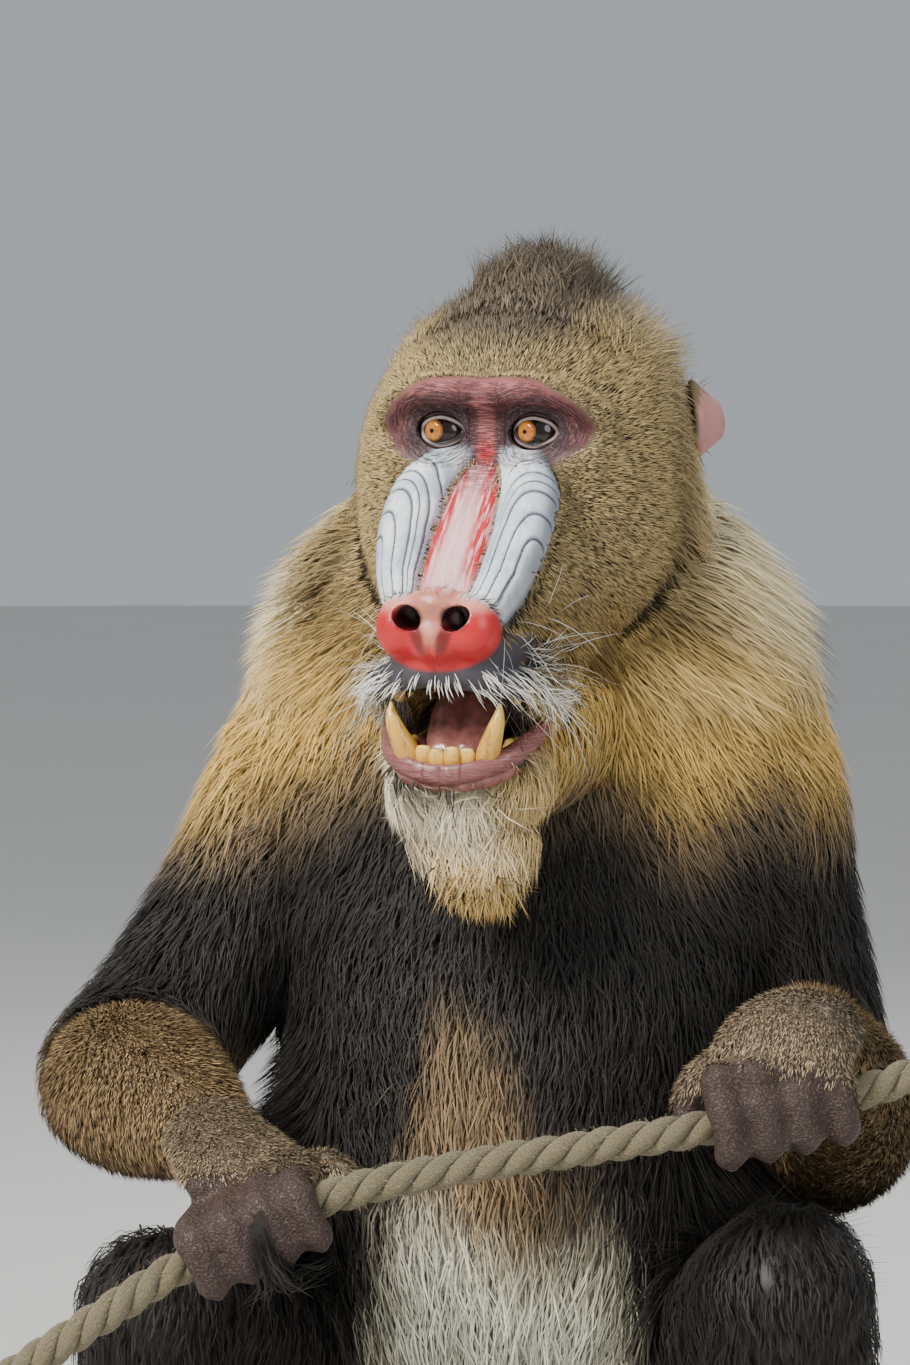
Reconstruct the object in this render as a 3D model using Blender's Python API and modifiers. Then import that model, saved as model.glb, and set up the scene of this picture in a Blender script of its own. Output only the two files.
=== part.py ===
# A life-size male mandrill sitting upright with its mouth open and its hands over a cut length of rope.
# Metres, Z up. The animal faces -Y and its left side is +X. The origin is on the floor under its seat.
import math

import bmesh
import bpy
import numpy as np
from mathutils import Matrix, Vector
from mathutils.bvhtree import BVHTree

# Driving dimensions
SEAT_TO_EYES = 0.632        # height of the eyes over the floor
EYES_FORWARD = 0.103        # the eyes ahead of the seat
HEAD_TURN = -6.5            # degrees that the head is turned to the animal's right
HEAD_ASIDE = 0.0055         # the neck's middle to the animal's left
EYE_SPACING = 0.050         # between the centres of the eyes
EYE_RADIUS = 0.0125
MUZZLE_REACH = 0.108        # nose tip ahead of the eyes
NOSE_DROP = 0.104           # nostrils below the eyes
MOUTH_HALF_WIDTH = 0.040
ROPE_RADIUS = 0.009
ROPE_LAY = 0.046            # length of one whole turn of a rope strand
KNOT_RADIUS = 0.0155        # of the stopper knot on each end of the rope
GAP = 0.0004                # between nodes that touch
FLOOR = 0.0

FINE_VOXEL = 0.0024
MIDDLE_TRIANGLES = 1950     # of the head and torso together, before the cuts
ARM_TRIANGLES = 760
LEG_TRIANGLES = 540

# The cuts across the neck, each a point and the way on down the body, and the height of the waist.
NECK = [((0, -0.115, 0.492), (0, 0.36, -0.93)), ((0, -0.115, 0.425), (0, 0.30, -0.95))]
WAIST = (0, 0, 0.262)


def clear_scene():
    for obj in list(bpy.data.objects):
        bpy.data.objects.remove(obj)


def smooth_rows(rows, per_span):
    """Catmull-Rom curve through the rows, with the sizes carried along with the points."""
    rows = np.array(rows, float)
    padded = np.vstack([2 * rows[0] - rows[1], rows, 2 * rows[-1] - rows[-2]])
    made = []
    for i in range(len(rows) - 1):
        p0, p1, p2, p3 = padded[i:i + 4]
        for t in np.linspace(0, 1, per_span, endpoint=False):
            made.append(0.5 * (2 * p1 + (p2 - p0) * t + (2 * p0 - 5 * p1 + 4 * p2 - p3) * t * t
                               + (3 * p1 - p0 - 3 * p2 + p3) * t ** 3))
    made.append(rows[-1])
    return np.array(made)


def loft(rows, around=24, per_span=4, across=None, up=(0, 0, 1), square=2.0, ends=0.7,
         caps=(75, 50, 25)):
    """A closed form carried along rows of (x, y, z, half width, half height).
    across fixes the direction of the width, and otherwise it is level and square to the path."""
    line = smooth_rows(rows, per_span)
    centre, width, height = line[:, :3], np.abs(line[:, 3]), np.abs(line[:, 4])
    tangent = np.gradient(centre, axis=0)
    tangent /= np.linalg.norm(tangent, axis=1)[:, None]
    if across is None:
        side = np.cross(tangent, np.array(up, float))
        side /= np.linalg.norm(side, axis=1)[:, None]
        top = np.cross(side, tangent)
    else:
        side = np.tile(np.array(across, float), (len(line), 1))
        top = np.tile(np.array(up, float), (len(line), 1))
    # Each end is rounded off by smaller rings and a pole.
    steps = np.radians(caps)
    first = [(centre[0] - tangent[0] * ends * min(width[0], height[0]) * math.sin(a), math.cos(a), 0)
             for a in steps]
    last = [(centre[-1] + tangent[-1] * ends * min(width[-1], height[-1]) * math.sin(a), math.cos(a), -1)
            for a in steps[::-1]]
    rings = first + [(c, 1.0, i) for i, c in enumerate(centre)] + last
    angle = np.arange(around) * 2 * math.pi / around
    ca = np.sign(np.cos(angle)) * np.abs(np.cos(angle)) ** (2 / square)
    sa = np.sign(np.sin(angle)) * np.abs(np.sin(angle)) ** (2 / square)
    points = [c + k * (width[i] * ca[:, None] * side[i] + height[i] * sa[:, None] * top[i])
              for c, k, i in rings]
    points = np.concatenate(points + [
        [centre[0] - tangent[0] * ends * min(width[0], height[0])],
        [centre[-1] + tangent[-1] * ends * min(width[-1], height[-1])]])
    n = len(rings)
    faces = [(r * around + j, r * around + (j + 1) % around,
              (r + 1) * around + (j + 1) % around, (r + 1) * around + j)
             for r in range(n - 1) for j in range(around)]
    faces += [(n * around, (j + 1) % around, j) for j in range(around)]
    faces += [(n * around + 1, (n - 1) * around + j, (n - 1) * around + (j + 1) % around)
              for j in range(around)]
    return points, faces


def mesh_object(name, shapes):
    """One object from a list of (points, faces)."""
    mesh = bpy.data.meshes.new(name)
    bm = bmesh.new()
    for points, faces in shapes:
        verts = [bm.verts.new(p) for p in points]
        for face in faces:
            bm.faces.new([verts[i] for i in face])
    bmesh.ops.triangulate(bm, faces=bm.faces[:])
    bmesh.ops.recalc_face_normals(bm, faces=bm.faces[:])
    bm.to_mesh(mesh)
    bm.free()
    obj = bpy.data.objects.new(name, mesh)
    bpy.context.scene.collection.objects.link(obj)
    return obj


def applied(obj):
    """Replaces the object's mesh with what its modifiers make."""
    graph = bpy.context.evaluated_depsgraph_get()
    mesh = bpy.data.meshes.new_from_object(obj.evaluated_get(graph))
    obj.modifiers.clear()
    obj.data = mesh
    return obj


def fused(name, shapes, voxel, smoothing=8, triangles=None):
    """The shapes grown into one skin, smoothed, and thinned to about the given number of triangles."""
    obj = mesh_object(name, shapes)
    remesh = obj.modifiers.new("Fuse", "REMESH")
    remesh.mode = "VOXEL"
    remesh.voxel_size = voxel
    smooth = obj.modifiers.new("Soften", "SMOOTH")
    smooth.factor = 0.5
    smooth.iterations = smoothing
    applied(obj)
    if triangles:
        thin(obj, triangles)
    return obj


def thin(obj, triangles):
    decimate = obj.modifiers.new("Thin", "DECIMATE")
    now = sum(len(p.vertices) - 2 for p in obj.data.polygons)
    decimate.ratio = min(1.0, triangles / now)
    return applied(obj)


def boolean(obj, other, operation, drop=True):
    """One Boolean, by the solver that is exact on closed meshes, or by the slower one where that gives nothing."""
    before = obj.data.copy()
    for solver in ("MANIFOLD", "EXACT"):
        obj.data = before.copy()
        cut = obj.modifiers.new("Cut", "BOOLEAN")
        cut.operation = operation
        cut.object = other
        cut.solver = solver
        applied(obj)
        if len(obj.data.polygons) > 3:
            break
        print("note: the", solver, operation, "of", obj.name, "gave nothing")
    if drop:
        bpy.data.objects.remove(other)
    return obj


def half_space(point, normal, shift=0.0):
    """A large cube whose face lies on the plane and whose body lies on the side that the normal points to."""
    size = 2.0
    bpy.ops.mesh.primitive_cube_add(size=size)
    obj = bpy.context.object
    direction = Vector(normal).normalized()
    turn = direction.to_track_quat("Z", "Y").to_matrix().to_4x4()
    place = Vector(point) + direction * (size / 2 + shift)
    obj.data.transform(Matrix.Translation(place) @ turn)
    return obj


def copy_of(obj, name):
    made = obj.copy()
    made.data = obj.data.copy()
    made.name = name
    bpy.context.scene.collection.objects.link(made)
    return made


def keep_side(obj, point, normal):
    """Keeps what lies on the side of the plane that the normal points to, half a gap back from it."""
    return boolean(obj, half_space(point, normal, GAP / 2), "INTERSECT")


def split(obj, name, point, normal):
    """Parts obj at the plane. obj keeps the side against the normal, and the new object has the other side."""
    other = copy_of(obj, name)
    keep_side(other, point, normal)
    keep_side(obj, point, [-c for c in normal])
    return other


def largest(obj):
    """Keeps only the largest closed surface of the mesh, where faces that share an edge belong together."""
    bm = bmesh.new()
    bm.from_mesh(obj.data)
    left, groups = set(bm.faces), []
    while left:
        stack, group = [left.pop()], []
        while stack:
            face = stack.pop()
            group.append(face)
            for edge in face.edges:
                for other in edge.link_faces:
                    if other in left:
                        left.remove(other)
                        stack.append(other)
        groups.append(group)
    groups.sort(key=lambda g: sum(f.calc_area() for f in g))
    bmesh.ops.delete(bm, geom=[f for g in groups[:-1] for f in g], context="FACES")
    bm.to_mesh(obj.data)
    bm.free()
    return obj


# The body's forms. Each row is (x, y, z, half width, half depth or height).
TORSO = [
    (0, 0.040, -0.040, 0.050, 0.046), (0, 0.040, -0.004, 0.086, 0.078), (0, 0.040, 0.050, 0.132, 0.113),
    (0, 0.018, 0.130, 0.144, 0.134), (0, -0.006, 0.220, 0.134, 0.138), (0, -0.008, 0.310, 0.130, 0.126),
    (0, 0.000, 0.380, 0.146, 0.110), (0, 0.004, 0.433, 0.162, 0.104), (0, 0.003, 0.486, 0.160, 0.100),
    (0, 0.000, 0.528, 0.144, 0.096), (0, -0.006, 0.570, 0.118, 0.092), (0, -0.012, 0.602, 0.092, 0.088),
    (0, -0.015, 0.630, 0.072, 0.080)]
UPPER_ARM = {
    "R": [(-0.094, 0.002, 0.480, 0.042, 0.044), (-0.126, -0.004, 0.430, 0.053, 0.054),
          (-0.149, -0.018, 0.380, 0.052, 0.052), (-0.178, -0.044, 0.330, 0.048, 0.048),
          (-0.211, -0.076, 0.288, 0.046, 0.046)],
    "L": [(0.094, 0.002, 0.480, 0.042, 0.044), (0.116, 0.000, 0.430, 0.053, 0.054),
          (0.125, 0.004, 0.380, 0.049, 0.049), (0.141, 0.010, 0.320, 0.047, 0.048),
          (0.154, 0.014, 0.256, 0.045, 0.046)]}
FOREARM = {
    "R": [(-0.211, -0.076, 0.288, 0.046, 0.046), (-0.188, -0.116, 0.288, 0.050, 0.049),
          (-0.156, -0.162, 0.282, 0.040, 0.039), (-0.134, -0.196, 0.275, 0.028, 0.025)],
    "L": [(0.154, 0.014, 0.256, 0.045, 0.046), (0.166, -0.036, 0.270, 0.049, 0.048),
          (0.176, -0.098, 0.300, 0.040, 0.039), (0.175, -0.150, 0.326, 0.028, 0.025)]}
THIGH = {
    "R": [(-0.078, 0.045, 0.092, 0.068, 0.074), (-0.114, -0.030, 0.122, 0.060, 0.068),
          (-0.142, -0.120, 0.160, 0.049, 0.054), (-0.163, -0.196, 0.190, 0.043, 0.042)],
    "L": [(0.078, 0.045, 0.092, 0.068, 0.074), (0.112, -0.026, 0.128, 0.064, 0.070),
          (0.142, -0.112, 0.172, 0.054, 0.056), (0.166, -0.188, 0.208, 0.045, 0.044)]}
SHIN = {
    "R": [(-0.163, -0.196, 0.190, 0.043, 0.042), (-0.163, -0.172, 0.142, 0.043, 0.045),
          (-0.156, -0.136, 0.090, 0.036, 0.038), (-0.148, -0.104, 0.048, 0.026, 0.030)],
    "L": [(0.166, -0.188, 0.208, 0.045, 0.044), (0.164, -0.160, 0.150, 0.044, 0.046),
          (0.158, -0.126, 0.095, 0.037, 0.038), (0.150, -0.100, 0.048, 0.026, 0.030)]}
FOOT = {
    "R": [(-0.143, -0.070, 0.024, 0.022, 0.024), (-0.144, -0.105, 0.030, 0.027, 0.030),
          (-0.148, -0.160, 0.026, 0.032, 0.024), (-0.153, -0.215, 0.018, 0.038, 0.016)],
    "L": [(0.149, -0.066, 0.024, 0.022, 0.024), (0.151, -0.101, 0.030, 0.027, 0.030),
          (0.158, -0.156, 0.026, 0.032, 0.024), (0.165, -0.211, 0.018, 0.038, 0.016)]}
TAIL = [(0, 0.120, 0.090, 0.022, 0.022), (0, 0.148, 0.100, 0.019, 0.019),
        (0, 0.168, 0.126, 0.016, 0.016), (0, 0.176, 0.158, 0.010, 0.010)]

# The rope's centre line, from the end by the right hand to the end by the left hand.
ROPE = [(-0.230, -0.312, 0.152), (-0.165, -0.299, 0.196), (-0.121, -0.288, 0.224), (-0.056, -0.272, 0.255),
        (0.010, -0.256, 0.270), (0.073, -0.241, 0.280), (0.133, -0.224, 0.290), (0.195, -0.200, 0.303),
        (0.262, -0.167, 0.325)]

# The head's forms lie in its own frame: its origin is midway between the eyes.
# Upright rings along Y: (y, half width, top, bottom).
SKULL = [(0.152, 0.022, 0.014, -0.040), (0.141, 0.048, 0.040, -0.072), (0.117, 0.076, 0.060, -0.100),
         (0.087, 0.091, 0.069, -0.118), (0.055, 0.093, 0.071, -0.126), (0.022, 0.083, 0.063, -0.128),
         (0.002, 0.068, 0.046, -0.121), (-0.009, 0.055, 0.030, -0.106)]
MUZZLE = [(0.030, 0.060, -0.010, -0.140), (0.000, 0.054, -0.013, -0.140), (-0.020, 0.047, -0.019, -0.138),
          (-0.045, 0.042, -0.041, -0.137), (-0.070, 0.037, -0.065, -0.135), (-0.088, 0.029, -0.086, -0.128)]
CHIN = [(0.036, 0.060, -0.106, -0.196), (0.000, 0.050, -0.122, -0.200), (-0.030, 0.041, -0.140, -0.200),
        (-0.055, 0.034, -0.154, -0.197), (-0.071, 0.026, -0.164, -0.190)]
RIDGE = [(0.017, -0.012, -0.016, 0.009, 0.009), (0.028, -0.026, -0.028, 0.014, 0.013),
         (0.031, -0.047, -0.048, 0.014, 0.013), (0.027, -0.070, -0.072, 0.012, 0.012),
         (0.019, -0.088, -0.090, 0.009, 0.009)]
BROW = [(0.000, -0.017, 0.020, 0.008, 0.008), (0.020, -0.019, 0.022, 0.009, 0.008),
        (0.040, -0.012, 0.019, 0.009, 0.008), (0.055, 0.002, 0.007, 0.009, 0.009)]
CHEEKBONE = [(0.022, -0.012, -0.020, 0.008, 0.007), (0.040, -0.007, -0.017, 0.009, 0.008),
             (0.054, 0.004, -0.006, 0.009, 0.009)]
UPPER_LIP = [(0.042, -0.034, -0.138, 0.008, 0.009), (0.037, -0.064, -0.131, 0.008, 0.010),
             (0.022, -0.086, -0.127, 0.008, 0.010), (0.000, -0.092, -0.126, 0.008, 0.009),
             (-0.022, -0.086, -0.127, 0.008, 0.010), (-0.037, -0.064, -0.131, 0.008, 0.010),
             (-0.042, -0.034, -0.138, 0.008, 0.009)]
LOWER_LIP = [(0.040, -0.034, -0.145, 0.006, 0.007), (0.037, -0.056, -0.155, 0.006, 0.007),
             (0.025, -0.075, -0.165, 0.007, 0.008), (0.000, -0.083, -0.171, 0.007, 0.008),
             (-0.025, -0.075, -0.165, 0.007, 0.008), (-0.037, -0.056, -0.155, 0.006, 0.007),
             (-0.040, -0.034, -0.145, 0.006, 0.007)]
MOUTH = [(-0.112, 0.038, -0.137, -0.163), (-0.085, 0.033, -0.135, -0.164), (-0.060, 0.032, -0.130, -0.163),
         (-0.035, 0.029, -0.124, -0.157), (-0.014, 0.020, -0.130, -0.150)]
TONGUE = [(-0.022, 0.012, -0.138, -0.1505), (-0.036, 0.017, -0.134, -0.1545), (-0.054, 0.018, -0.139, -0.1590),
          (-0.070, 0.012, -0.149, -0.1605)]
CANINE = [(0.018, -0.073, -0.170, 0.0056, 0.0056), (0.021, -0.078, -0.160, 0.0052, 0.0052),
          (0.025, -0.082, -0.148, 0.0036, 0.0036), (0.027, -0.083, -0.139, 0.0014, 0.0014)]
INCISORS = [(0.0125, -0.077), (0.0045, -0.080), (-0.0045, -0.080), (-0.0125, -0.077)]
EAR = (0.093, 0.086, 0.000)
EYE = (EYE_SPACING / 2, 0.0, 0.0)


def in_head():
    """The head frame's place in the world."""
    return Matrix.Translation((HEAD_ASIDE, -0.029, SEAT_TO_EYES)) @ Matrix.Rotation(math.radians(HEAD_TURN), 4, "Z") \
        @ Matrix.Translation((0, -EYES_FORWARD + 0.029, 0))


def placed(shape, matrix):
    points, faces = shape
    m = np.array(matrix)
    return np.asarray(points) @ m[:3, :3].T + m[:3, 3], faces


def upright(rows, **more):
    """A loft whose rings stand upright across Y."""
    return loft([(0, y, (t + b) / 2, w, (t - b) / 2) for y, w, t, b in rows], across=(1, 0, 0), **more)


def ball(centre, radii, fine=3):
    """An ellipsoid on a subdivided icosahedron, for the solids that are small and round."""
    bm = bmesh.new()
    bmesh.ops.create_icosphere(bm, subdivisions=fine, radius=1.0)
    points = np.array([v.co for v in bm.verts]) * radii + centre
    faces = [tuple(v.index for v in f.verts) for f in bm.faces]
    bm.free()
    return points, faces


def mirrored(rows):
    return [(-r[0],) + tuple(r[1:]) for r in rows]


def head_shapes():
    shapes = [upright(SKULL, per_span=4, around=36, ends=0.06, square=2.15),
              upright(MUZZLE, around=32, square=2.5, ends=0.25),
              upright(CHIN, around=28, square=2.3, ends=0.3), loft(UPPER_LIP), loft(LOWER_LIP)]
    for rows in (RIDGE, BROW, CHEEKBONE):
        shapes += [loft(rows, around=16), loft(mirrored(rows), around=16)]
    for side in (-1, 1):
        shapes.append(ball((side * EYE[0], EYE[1], EYE[2]), (EYE_RADIUS + 0.0026,) * 3))
        shapes.append(ball((side * 0.0165, -0.095, -0.099), (0.0155, 0.014, 0.0185)))
    shapes.append(ball((0, -0.100, -0.107), (0.015, 0.011, 0.014)))
    shapes.append(ball((0, -0.096, -0.086), (0.013, 0.013, 0.010)))
    return [placed(s, in_head()) for s in shapes]


def finger(rope, at, knuckle, radius, wrap, side=1.0):
    """A finger from its knuckle over the rope at the given share of its length, and on round it."""
    centre = np.array(rope[0]) + (np.array(rope[1]) - np.array(rope[0])) * at
    along = np.array(rope[1]) - np.array(rope[0])
    along /= np.linalg.norm(along)
    over = np.array([0, 0, 1.0]) - along[2] * along
    over /= np.linalg.norm(over)
    ahead = np.cross(over, along) * side
    ahead = ahead if ahead[1] < 0 else -ahead
    rows = [tuple(knuckle) + (radius * 1.08, radius * 1.0)]
    for i, degrees in enumerate(wrap):
        thick = radius * (1.0 - 0.07 * i)
        reach = ROPE_RADIUS + thick * 0.92
        a = math.radians(degrees)
        rows.append(tuple(centre + reach * (math.cos(a) * ahead + math.sin(a) * over)) + (thick, thick))
    return loft(rows, around=12, per_span=3, ends=0.9)


def hand_shapes(side):
    if side == "R":
        palm = [(-0.134, -0.192, 0.276, 0.026, 0.023), (-0.122, -0.214, 0.272, 0.029, 0.021),
                (-0.106, -0.240, 0.266, 0.035, 0.018), (-0.094, -0.260, 0.258, 0.037, 0.015)]
        rope = [(-0.121, -0.288, 0.224), (-0.056, -0.272, 0.255)]
        knuckles = [((-0.117, -0.262, 0.245), 0.08), ((-0.103, -0.267, 0.254), 0.34),
                    ((-0.088, -0.266, 0.263), 0.60), ((-0.073, -0.260, 0.268), 0.85)]
        thumb = [(-0.100, -0.226, 0.264, 0.012, 0.012), (-0.074, -0.238, 0.264, 0.010, 0.010),
                 (-0.054, -0.252, 0.266, 0.008, 0.008), (-0.043, -0.256, 0.254, 0.007, 0.007)]
    else:
        palm = [(0.174, -0.158, 0.330, 0.026, 0.023), (0.173, -0.180, 0.335, 0.029, 0.021),
                (0.169, -0.202, 0.332, 0.034, 0.018), (0.164, -0.218, 0.320, 0.037, 0.015)]
        rope = [(0.133, -0.224, 0.290), (0.195, -0.200, 0.303)]
        knuckles = [((0.136, -0.233, 0.314), 0.05), ((0.154, -0.230, 0.318), 0.34),
                    ((0.172, -0.222, 0.321), 0.62), ((0.190, -0.211, 0.320), 0.92)]
        thumb = [(0.150, -0.190, 0.326, 0.012, 0.012), (0.130, -0.200, 0.316, 0.010, 0.010),
                 (0.118, -0.212, 0.300, 0.009, 0.009), (0.117, -0.218, 0.282, 0.007, 0.007)]
    shapes = [loft(palm, around=20, up=(0.2, -0.35, 1.0)), loft(thumb, around=12)]
    for point, at in knuckles:
        shapes.append(finger(rope, at, point, 0.0092, (58, 8, -45, -100)))
    return shapes


def foot_shapes(side):
    rows = FOOT[side]
    shapes = [loft(rows, around=20)]
    ahead = np.array(rows[-1][:3]) - np.array(rows[-2][:3])
    ahead[2] = 0
    ahead /= np.linalg.norm(ahead)
    across = np.array([-ahead[1], ahead[0], 0])
    inward = -1.0 if side == "L" else 1.0
    for i, (off, reach) in enumerate(((-0.026, 0.030), (-0.009, 0.042), (0.009, 0.044), (0.027, 0.036))):
        start = np.array(rows[-1][:3]) + across * off - ahead * 0.006
        mid = start + ahead * reach * 0.55 + (0, 0, 0.004)
        tip = start + ahead * reach
        shapes.append(loft([tuple(start) + (0.010, 0.011), (mid[0], mid[1], 0.017, 0.0088, 0.009),
                            (tip[0], tip[1], 0.008, 0.0078, 0.0085)], around=12))
    start = np.array(rows[1][:3]) + np.array([inward * 0.018, -0.020, -0.008])
    mid = start + np.array([inward * 0.022, -0.030, -0.004])
    tip = mid + np.array([inward * 0.006, -0.034, -0.003])
    shapes.append(loft([tuple(start) + (0.014, 0.015), tuple(mid) + (0.012, 0.012),
                        (tip[0], tip[1], 0.009, 0.010, 0.010)], around=12))
    return shapes


def twisted_rope():
    """Three strands laid together, as one section of three lobes turned along the line."""
    rows = [tuple(p) + (ROPE_RADIUS, ROPE_RADIUS) for p in ROPE]
    line = smooth_rows(rows, 24)
    centre = line[:, :3]
    step = np.linalg.norm(np.diff(centre, axis=0), axis=1)
    far = np.concatenate([[0], np.cumsum(step)])
    count = int(far[-1] / 0.0074)
    at = np.linspace(0, far[-1], count)
    centre = np.stack([np.interp(at, far, centre[:, k]) for k in range(3)], axis=1)
    tangent = np.gradient(centre, axis=0)
    tangent /= np.linalg.norm(tangent, axis=1)[:, None]
    side = np.cross(tangent, (0, 0, 1.0))
    side /= np.linalg.norm(side, axis=1)[:, None]
    top = np.cross(side, tangent)
    around = 6
    angle = np.arange(around) * 2 * math.pi / around
    radius = ROPE_RADIUS * (0.92 + 0.08 * np.cos(3 * angle))
    rings = []
    for i in range(count):
        turn = angle + at[i] / ROPE_LAY * 2 * math.pi
        rings.append(centre[i] + radius[:, None] * (np.cos(turn)[:, None] * side[i]
                                                    + np.sin(turn)[:, None] * top[i]))
    points = np.concatenate(rings + [[centre[0]], [centre[-1]]])
    faces = [(r * around + j, r * around + (j + 1) % around,
              (r + 1) * around + (j + 1) % around, (r + 1) * around + j)
             for r in range(count - 1) for j in range(around)]
    faces += [(count * around, (j + 1) % around, j) for j in range(around)]
    faces += [(count * around + 1, (count - 1) * around + j, (count - 1) * around + (j + 1) % around)
              for j in range(around)]
    return points, faces


def swollen(obj, by):
    """A copy of the object with its surface moved out."""
    made = copy_of(obj, "Swollen")
    move = made.modifiers.new("Out", "DISPLACE")
    move.strength = by
    move.mid_level = 0
    return applied(made)


def clear_of(obj, *others):
    """Takes away whatever of obj is nearer than a gap to the others."""
    for other in others:
        boolean(obj, swollen(other, GAP * 1.5), "DIFFERENCE")
        boolean(obj, copy_of(other, "Copy"), "DIFFERENCE")
    return obj


# The cores under the crest and the beard, half way out to the tips of their hair.
CREST = [(0, 0.014, 0.050, 0.022, 0.010), (0, 0.045, 0.063, 0.032, 0.014), (0, 0.080, 0.069, 0.032, 0.016),
         (0, 0.112, 0.060, 0.028, 0.014)]
BEARD = [(0, -0.044, -0.176, 0.034, 0.024), (0.003, -0.046, -0.196, 0.035, 0.021),
         (0.009, -0.050, -0.214, 0.025, 0.015), (0.015, -0.053, -0.228, 0.011, 0.008)]


def part_off(obj, name, box_low, box_high, matrix):
    """Parts off what lies inside a box of the head's frame. Returns the new object."""
    low, high = np.array(box_low), np.array(box_high)
    made = copy_of(obj, name)
    for target, inset, how in ((made, GAP / 2, "INTERSECT"), (obj, -GAP / 2, "DIFFERENCE")):
        bpy.ops.mesh.primitive_cube_add(size=1.0)
        box = bpy.context.object
        size = high - low - 2 * inset
        box.data.transform(matrix @ Matrix.Translation((low + high) / 2) @ Matrix.Diagonal((*size, 1)))
        boolean(target, box, how)
    return made


def mesh_of(shape, name="Form"):
    return mesh_object(name, [shape])


# The locks: how many, their length, width, lift of the tip from the core, and the seed.
LOCKS = {"crest": (10, 0.040, 0.024, 0.013, 3), "ruff": (8, 0.062, 0.038, 0.012, 5),
         "beard": (12, 0.050, 0.024, 0.006, 7), "neck": (10, 0.085, 0.052, 0.014, 11),
         "chest": (11, 0.100, 0.052, 0.012, 13), "abdomen": (7, 0.105, 0.042, 0.012, 17),
         "arm": (5, 0.085, 0.042, 0.009, 19)}


def spread(points, normals, count, seed):
    """Picks count of the points, each as far as it can be from those already picked."""
    rng = np.random.default_rng(seed)
    picked = [int(rng.integers(len(points)))]
    far = np.linalg.norm(points - points[picked[0]], axis=1)
    while len(picked) < count:
        picked.append(int(np.argmax(far)))
        far = np.minimum(far, np.linalg.norm(points - points[picked[-1]], axis=1))
    return points[picked], normals[picked]


def surface_points(obj, seed, count=4000):
    """Points spread at random over the object's triangles, with their normals."""
    mesh = obj.data
    mesh.calc_loop_triangles()
    co = np.array([v.co for v in mesh.vertices])
    tris = co[np.array([t.vertices[:] for t in mesh.loop_triangles])]
    normal = np.cross(tris[:, 1] - tris[:, 0], tris[:, 2] - tris[:, 0])
    area = np.linalg.norm(normal, axis=1)
    rng = np.random.default_rng(seed)
    pick = rng.choice(len(tris), count, p=area / area.sum())
    a, b = rng.random((2, count, 1))
    a, b = np.where(a + b > 1, 1 - a, a), np.where(a + b > 1, 1 - b, b)
    t = tris[pick]
    return t[:, 0] + a * (t[:, 1] - t[:, 0]) + b * (t[:, 2] - t[:, 0]), normal[pick] / area[pick][:, None]


def lock(core, root, kind, length, width, lift, rng):
    """A flat lock of four-sided rings. It leaves the core, follows it along the way that the hair lies and
    tapers to a tip that stands clear of it."""
    swerve = rng.uniform(-0.16, 0.16)
    length = length * rng.uniform(0.88, 1.12)
    point, normal = core.find_nearest(Vector(root))[:2]
    stops = [(0.00, -0.30, 0.85), (0.30, 0.45, 1.00), (0.62, 0.80, 0.80), (0.86, 1.00, 0.42), (1.0, 1.05, 0)]
    rings, before = [], 0.0
    for t, up, wide in stops:
        for _ in range(4):
            lie = Vector(flow(np.array(point), kind))
            lie = (lie - lie.dot(normal) * normal).normalized()
            side = normal.cross(lie)
            lie = lie + side * swerve
            point = point + lie * length * (t - before) / 4
            if kind not in ("beard", "crest"):
                point, normal = core.find_nearest(point)[:2]
        before = t
        centre = np.array(point + normal * lift * up)
        if wide:
            half = np.array(side) * width * wide * 0.5
            deep = np.array(normal) * width * wide * 0.11
            rings.append([centre + half, centre + deep, centre - half, centre - deep])
    points = np.array([p for ring in rings for p in ring] + [centre])
    faces = [(3, 2, 1, 0)]
    faces += [(r * 4 + j, r * 4 + (j + 1) % 4, r * 4 + 4 + (j + 1) % 4, r * 4 + 4 + j)
              for r in range(3) for j in range(4)]
    faces += [(12 + j, 12 + (j + 1) % 4, 16) for j in range(4)]
    return points, faces


def flow(point, kind):
    """The way the hair lies at a point, before it is laid flat on the core."""
    x, y, z = point
    if kind == "crest":
        return (x * 6, 0.9, 0.1)
    if kind == "ruff":
        return (math.copysign(0.25, x), 0.45, -0.75)
    if kind == "beard":
        return ((0.026 - x) * 7, -0.05, -1)
    if kind == "abdomen":
        return (-x * 1.0, -0.1, -1)
    if kind == "arm":
        return (x * 0.8, -0.35, -1)
    # The mantle and the chest hang down and a little outwards.
    return (x * 1.2, y * 0.6, -1)


def with_locks(obj, kind, keep, core=None):
    """Joins a kind's locks to the object, on the points of it that keep allows."""
    count, length, width, lift, seed = LOCKS[kind]
    points, normals = surface_points(obj if core is None else core, seed)
    chosen = keep(points, normals)
    points, normals = spread(points[chosen], normals[chosen], count, seed)
    rng = np.random.default_rng(seed)
    graph = bpy.context.evaluated_depsgraph_get()
    core = BVHTree.FromObject(obj if core is None else core, graph)
    group = bpy.data.collections.new("Locks")
    bpy.context.scene.collection.children.link(group)
    for point in points:
        piece = mesh_object("Lock", [lock(core, point, kind, length, width, lift, rng)])
        bpy.context.scene.collection.objects.unlink(piece)
        group.objects.link(piece)
    before = obj.data.copy()
    for solver in ("MANIFOLD", "EXACT"):
        obj.data = before.copy()
        join = obj.modifiers.new("Join", "BOOLEAN")
        join.operand_type = "COLLECTION"
        join.collection = group
        join.operation = "UNION"
        join.solver = solver
        applied(obj)
        if len(obj.data.polygons) > len(before.polygons):
            break
        print("note: the", solver, "union of", obj.name, "gave nothing")
    for piece in list(group.objects):
        bpy.data.objects.remove(piece)
    bpy.data.collections.remove(group)
    return obj


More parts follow.
